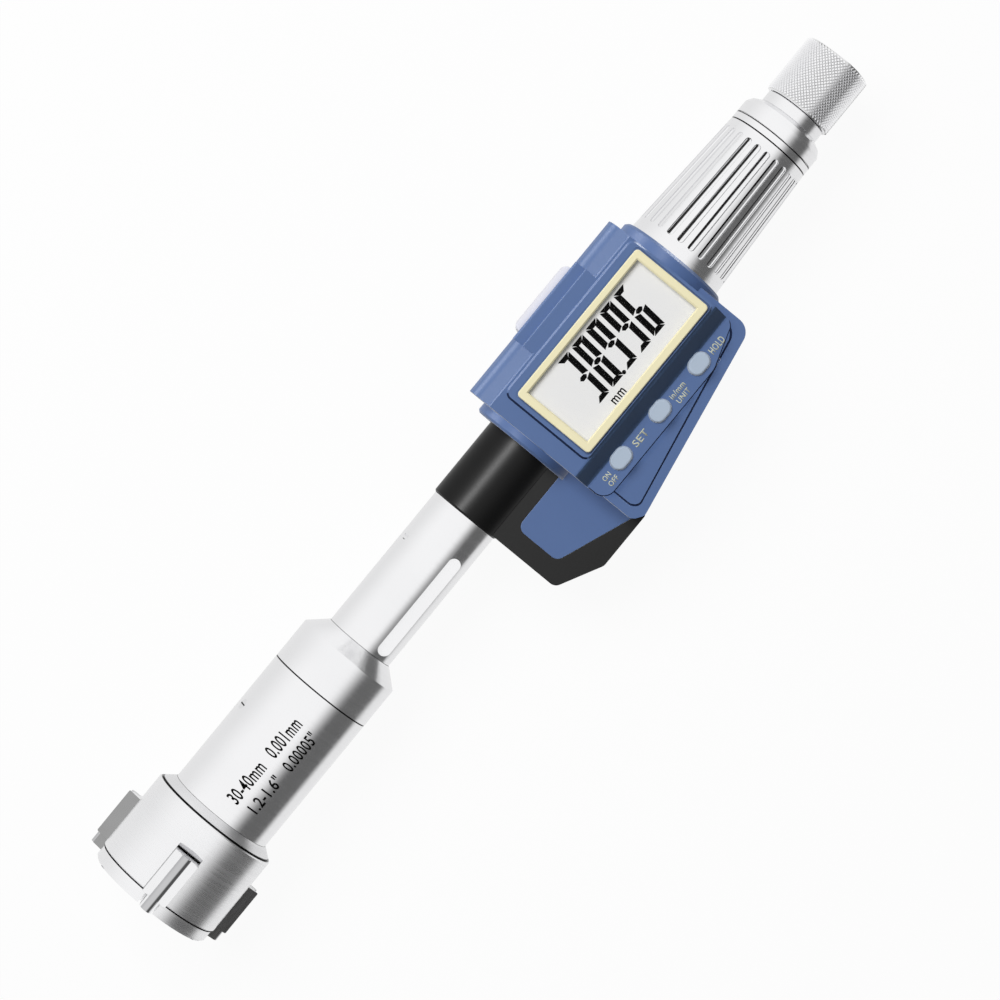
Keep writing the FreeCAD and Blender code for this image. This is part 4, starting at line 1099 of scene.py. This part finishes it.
# Studio
# A pale floor under the tool and an even sky, whose darker side gives the grey line in
# bright steel. A soft key lamp lights the plastics, and long and square lamps put a gleam
# on the black cover and fainter ones on the blue covers.

floor_size = 6
floor_gap = 0.00005
floor_glow = 0.94
tool_middle = 0.11
bpy.ops.object.select_all(action="DESELECT")
bpy.ops.mesh.primitive_plane_add(size=floor_size, location=(tool_middle, 0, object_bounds()[0].z - floor_gap))
floor = bpy.context.object
floor.name = "studio_floor"
floor.visible_glossy = False

# The camera sees the paper almost white, and a little of the shadow on it.
white = (1, 1, 1, 1)
paper = finish_of("white_paper", (0.85, 0.85, 0.85), 0, 0.9)
tree = paper.node_tree
light_path = add_node(tree, "LightPath")
glow = add_node(tree, "Emission", {"Color": white, "Strength": 1})
blend = add_node(tree, "MixShader", {
    "Fac": math_node(tree, "MULTIPLY", light_path.outputs["Is Camera Ray"], floor_glow),
    1: tree.nodes["Principled BSDF"].outputs["BSDF"],
    2: glow.outputs["Emission"],
})
tree.links.new(blend.outputs["Shader"], tree.nodes["Material Output"].inputs["Surface"])
floor.data.materials.append(paper)

# The sky's pattern runs by half the angle between straight up and the direction seen. That
# is the slope of a steel face that mirrors it to the front, so each band lies at one slope.
dark_from, dark_to, dark_level = math.radians(12), math.radians(31), 0.13
bright_from, bright_to, bright_level = math.radians(49), math.radians(61), 0.85
side_from, side_to, side_levels = math.radians(-58), math.radians(-20), (0.86, 1.02)
end_spread, end_stretch = 0.16, 1.29
sky_light = 0.224
world = bpy.data.worlds.new("studio_sky")
bpy.context.scene.world = world
world.use_nodes = True
world.cycles.sampling_method = "NONE"
sky = world.node_tree
for old in list(sky.nodes):
    sky.nodes.remove(old)
direction = add_node(sky, "TexCoord").outputs["Generated"]
toward = add_node(sky, "SeparateXYZ", {"Vector": direction}).outputs
downward = math_node(sky, "MULTIPLY", toward["Y"], -1)
lean = math_node(sky, "ARCTAN2", downward, math_node(sky, "ADD", toward["Z"], 1))
spread = map_range(sky, toward["X"], (0, end_spread), (1, end_stretch))
leaning = math_node(sky, "MULTIPLY", lean, spread)
shade = map_range(sky, leaning, (dark_from, dark_to), (1, dark_level), "SMOOTHSTEP")
under = map_range(sky, leaning, (bright_from, bright_to), (0, bright_level), "SMOOTHSTEP")
dimmer = map_range(sky, lean, (side_from, side_to), side_levels, "SMOOTHSTEP")
pattern = math_node(sky, "MULTIPLY", math_node(sky, "MAXIMUM", shade, under), dimmer)

# Mirrored rays meet the pattern, the camera sees white, and all other light is even.
path = add_node(sky, "LightPath").outputs
reflected = add_node(sky, "Mix", {
    "Factor": path["Is Glossy Ray"], "A": sky_light, "B": pattern,
}, data_type="FLOAT")
shown = add_node(sky, "Mix", {
    "Factor": path["Is Camera Ray"], "A": reflected.outputs["Result"], "B": 1,
}, data_type="FLOAT")
background = add_node(sky, "Background", {"Color": white, "Strength": shown.outputs["Result"]})
add_node(sky, "OutputWorld", {"Surface": background.outputs["Background"]})


def area_lamp(name, place, size, energy):
    """A square or long lamp that looks at the middle of the tool."""
    bpy.ops.object.light_add(type="AREA", location=place)
    lamp = bpy.context.object
    lamp.name = name
    lamp.data.shape = "RECTANGLE"
    lamp.data.size = size[0]
    lamp.data.size_y = size[1]
    lamp.data.energy = energy
    aim = lamp.location - floor.location
    lamp.rotation_euler = aim.to_track_quat("Z", "Y").to_euler()
    return lamp


def piece_group(name, *pieces):
    """A collection that tells a lamp which pieces it works on."""
    group = bpy.data.collections.new(name)
    for piece in pieces:
        group.objects.link(piece)
    return group


key_lamp = area_lamp("key_lamp", (0.19, 0.46, 0.66), (0.6, 0.5), 5.6)
key_lamp.visible_glossy = False
no_shadow = piece_group("pieces_without_key_shadow", front_cover)
key_lamp.light_linking.blocker_collection = no_shadow
no_shadow.collection_objects[0].light_linking.link_state = "EXCLUDE"
black_covers = piece_group("black_covers", frame_cover)
blue_covers = piece_group("blue_covers", main_housing, back_cover, front_cover, side_inlay)
for name, place, size, energy, covers in (
    ("gleam_lamp", (0.11, 0.30, 0.74), (0.5, 0.14), 11.0, black_covers),
    ("faint_gleam_lamp", (0.11, 0.30, 0.74), (0.5, 0.14), 2.0, blue_covers),
    ("upper_edge_lamp", (0.14, 0.62, 0.07), (0.4, 0.3), 3.0, blue_covers),
    ("right_edge_lamp", (0.78, 0.02, 0.07), (0.3, 0.3), 8.0, blue_covers),
):
    lamp = area_lamp(name, place, size, energy)
    lamp.visible_diffuse = False
    lamp.light_linking.receiver_collection = covers

# The steel mirrors the sky and other steel, and leaves out the plastics.
for piece in bpy.data.objects:
    finishes = [place.material.name for place in piece.material_slots if place.material]
    if piece.type == "MESH" and not any("steel" in name for name in finishes):
        piece.visible_glossy = False


# Camera
# It stands square over the display, rolled to the photograph's slant. Its lens gives the
# photograph's scale, in pixels for each millimetre at the depth of the tool's axis.

distance = 0.700
image_scale = 4.76
half_frame = 500
half_sensor = 18
bpy.ops.object.camera_add(
    location=(0.1114, -0.00375, distance), rotation=(0, 0, math.radians(-50.57)),
)
camera = bpy.context.object
camera.name = "photo_camera"
camera.data.sensor_width = 2 * half_sensor
camera.data.lens = half_sensor / (half_frame / (image_scale * distance / mm))
camera.data.clip_start = 0.05
camera.data.clip_end = 20
bpy.context.scene.camera = camera
bpy.context.scene.view_settings.view_transform = "Standard"
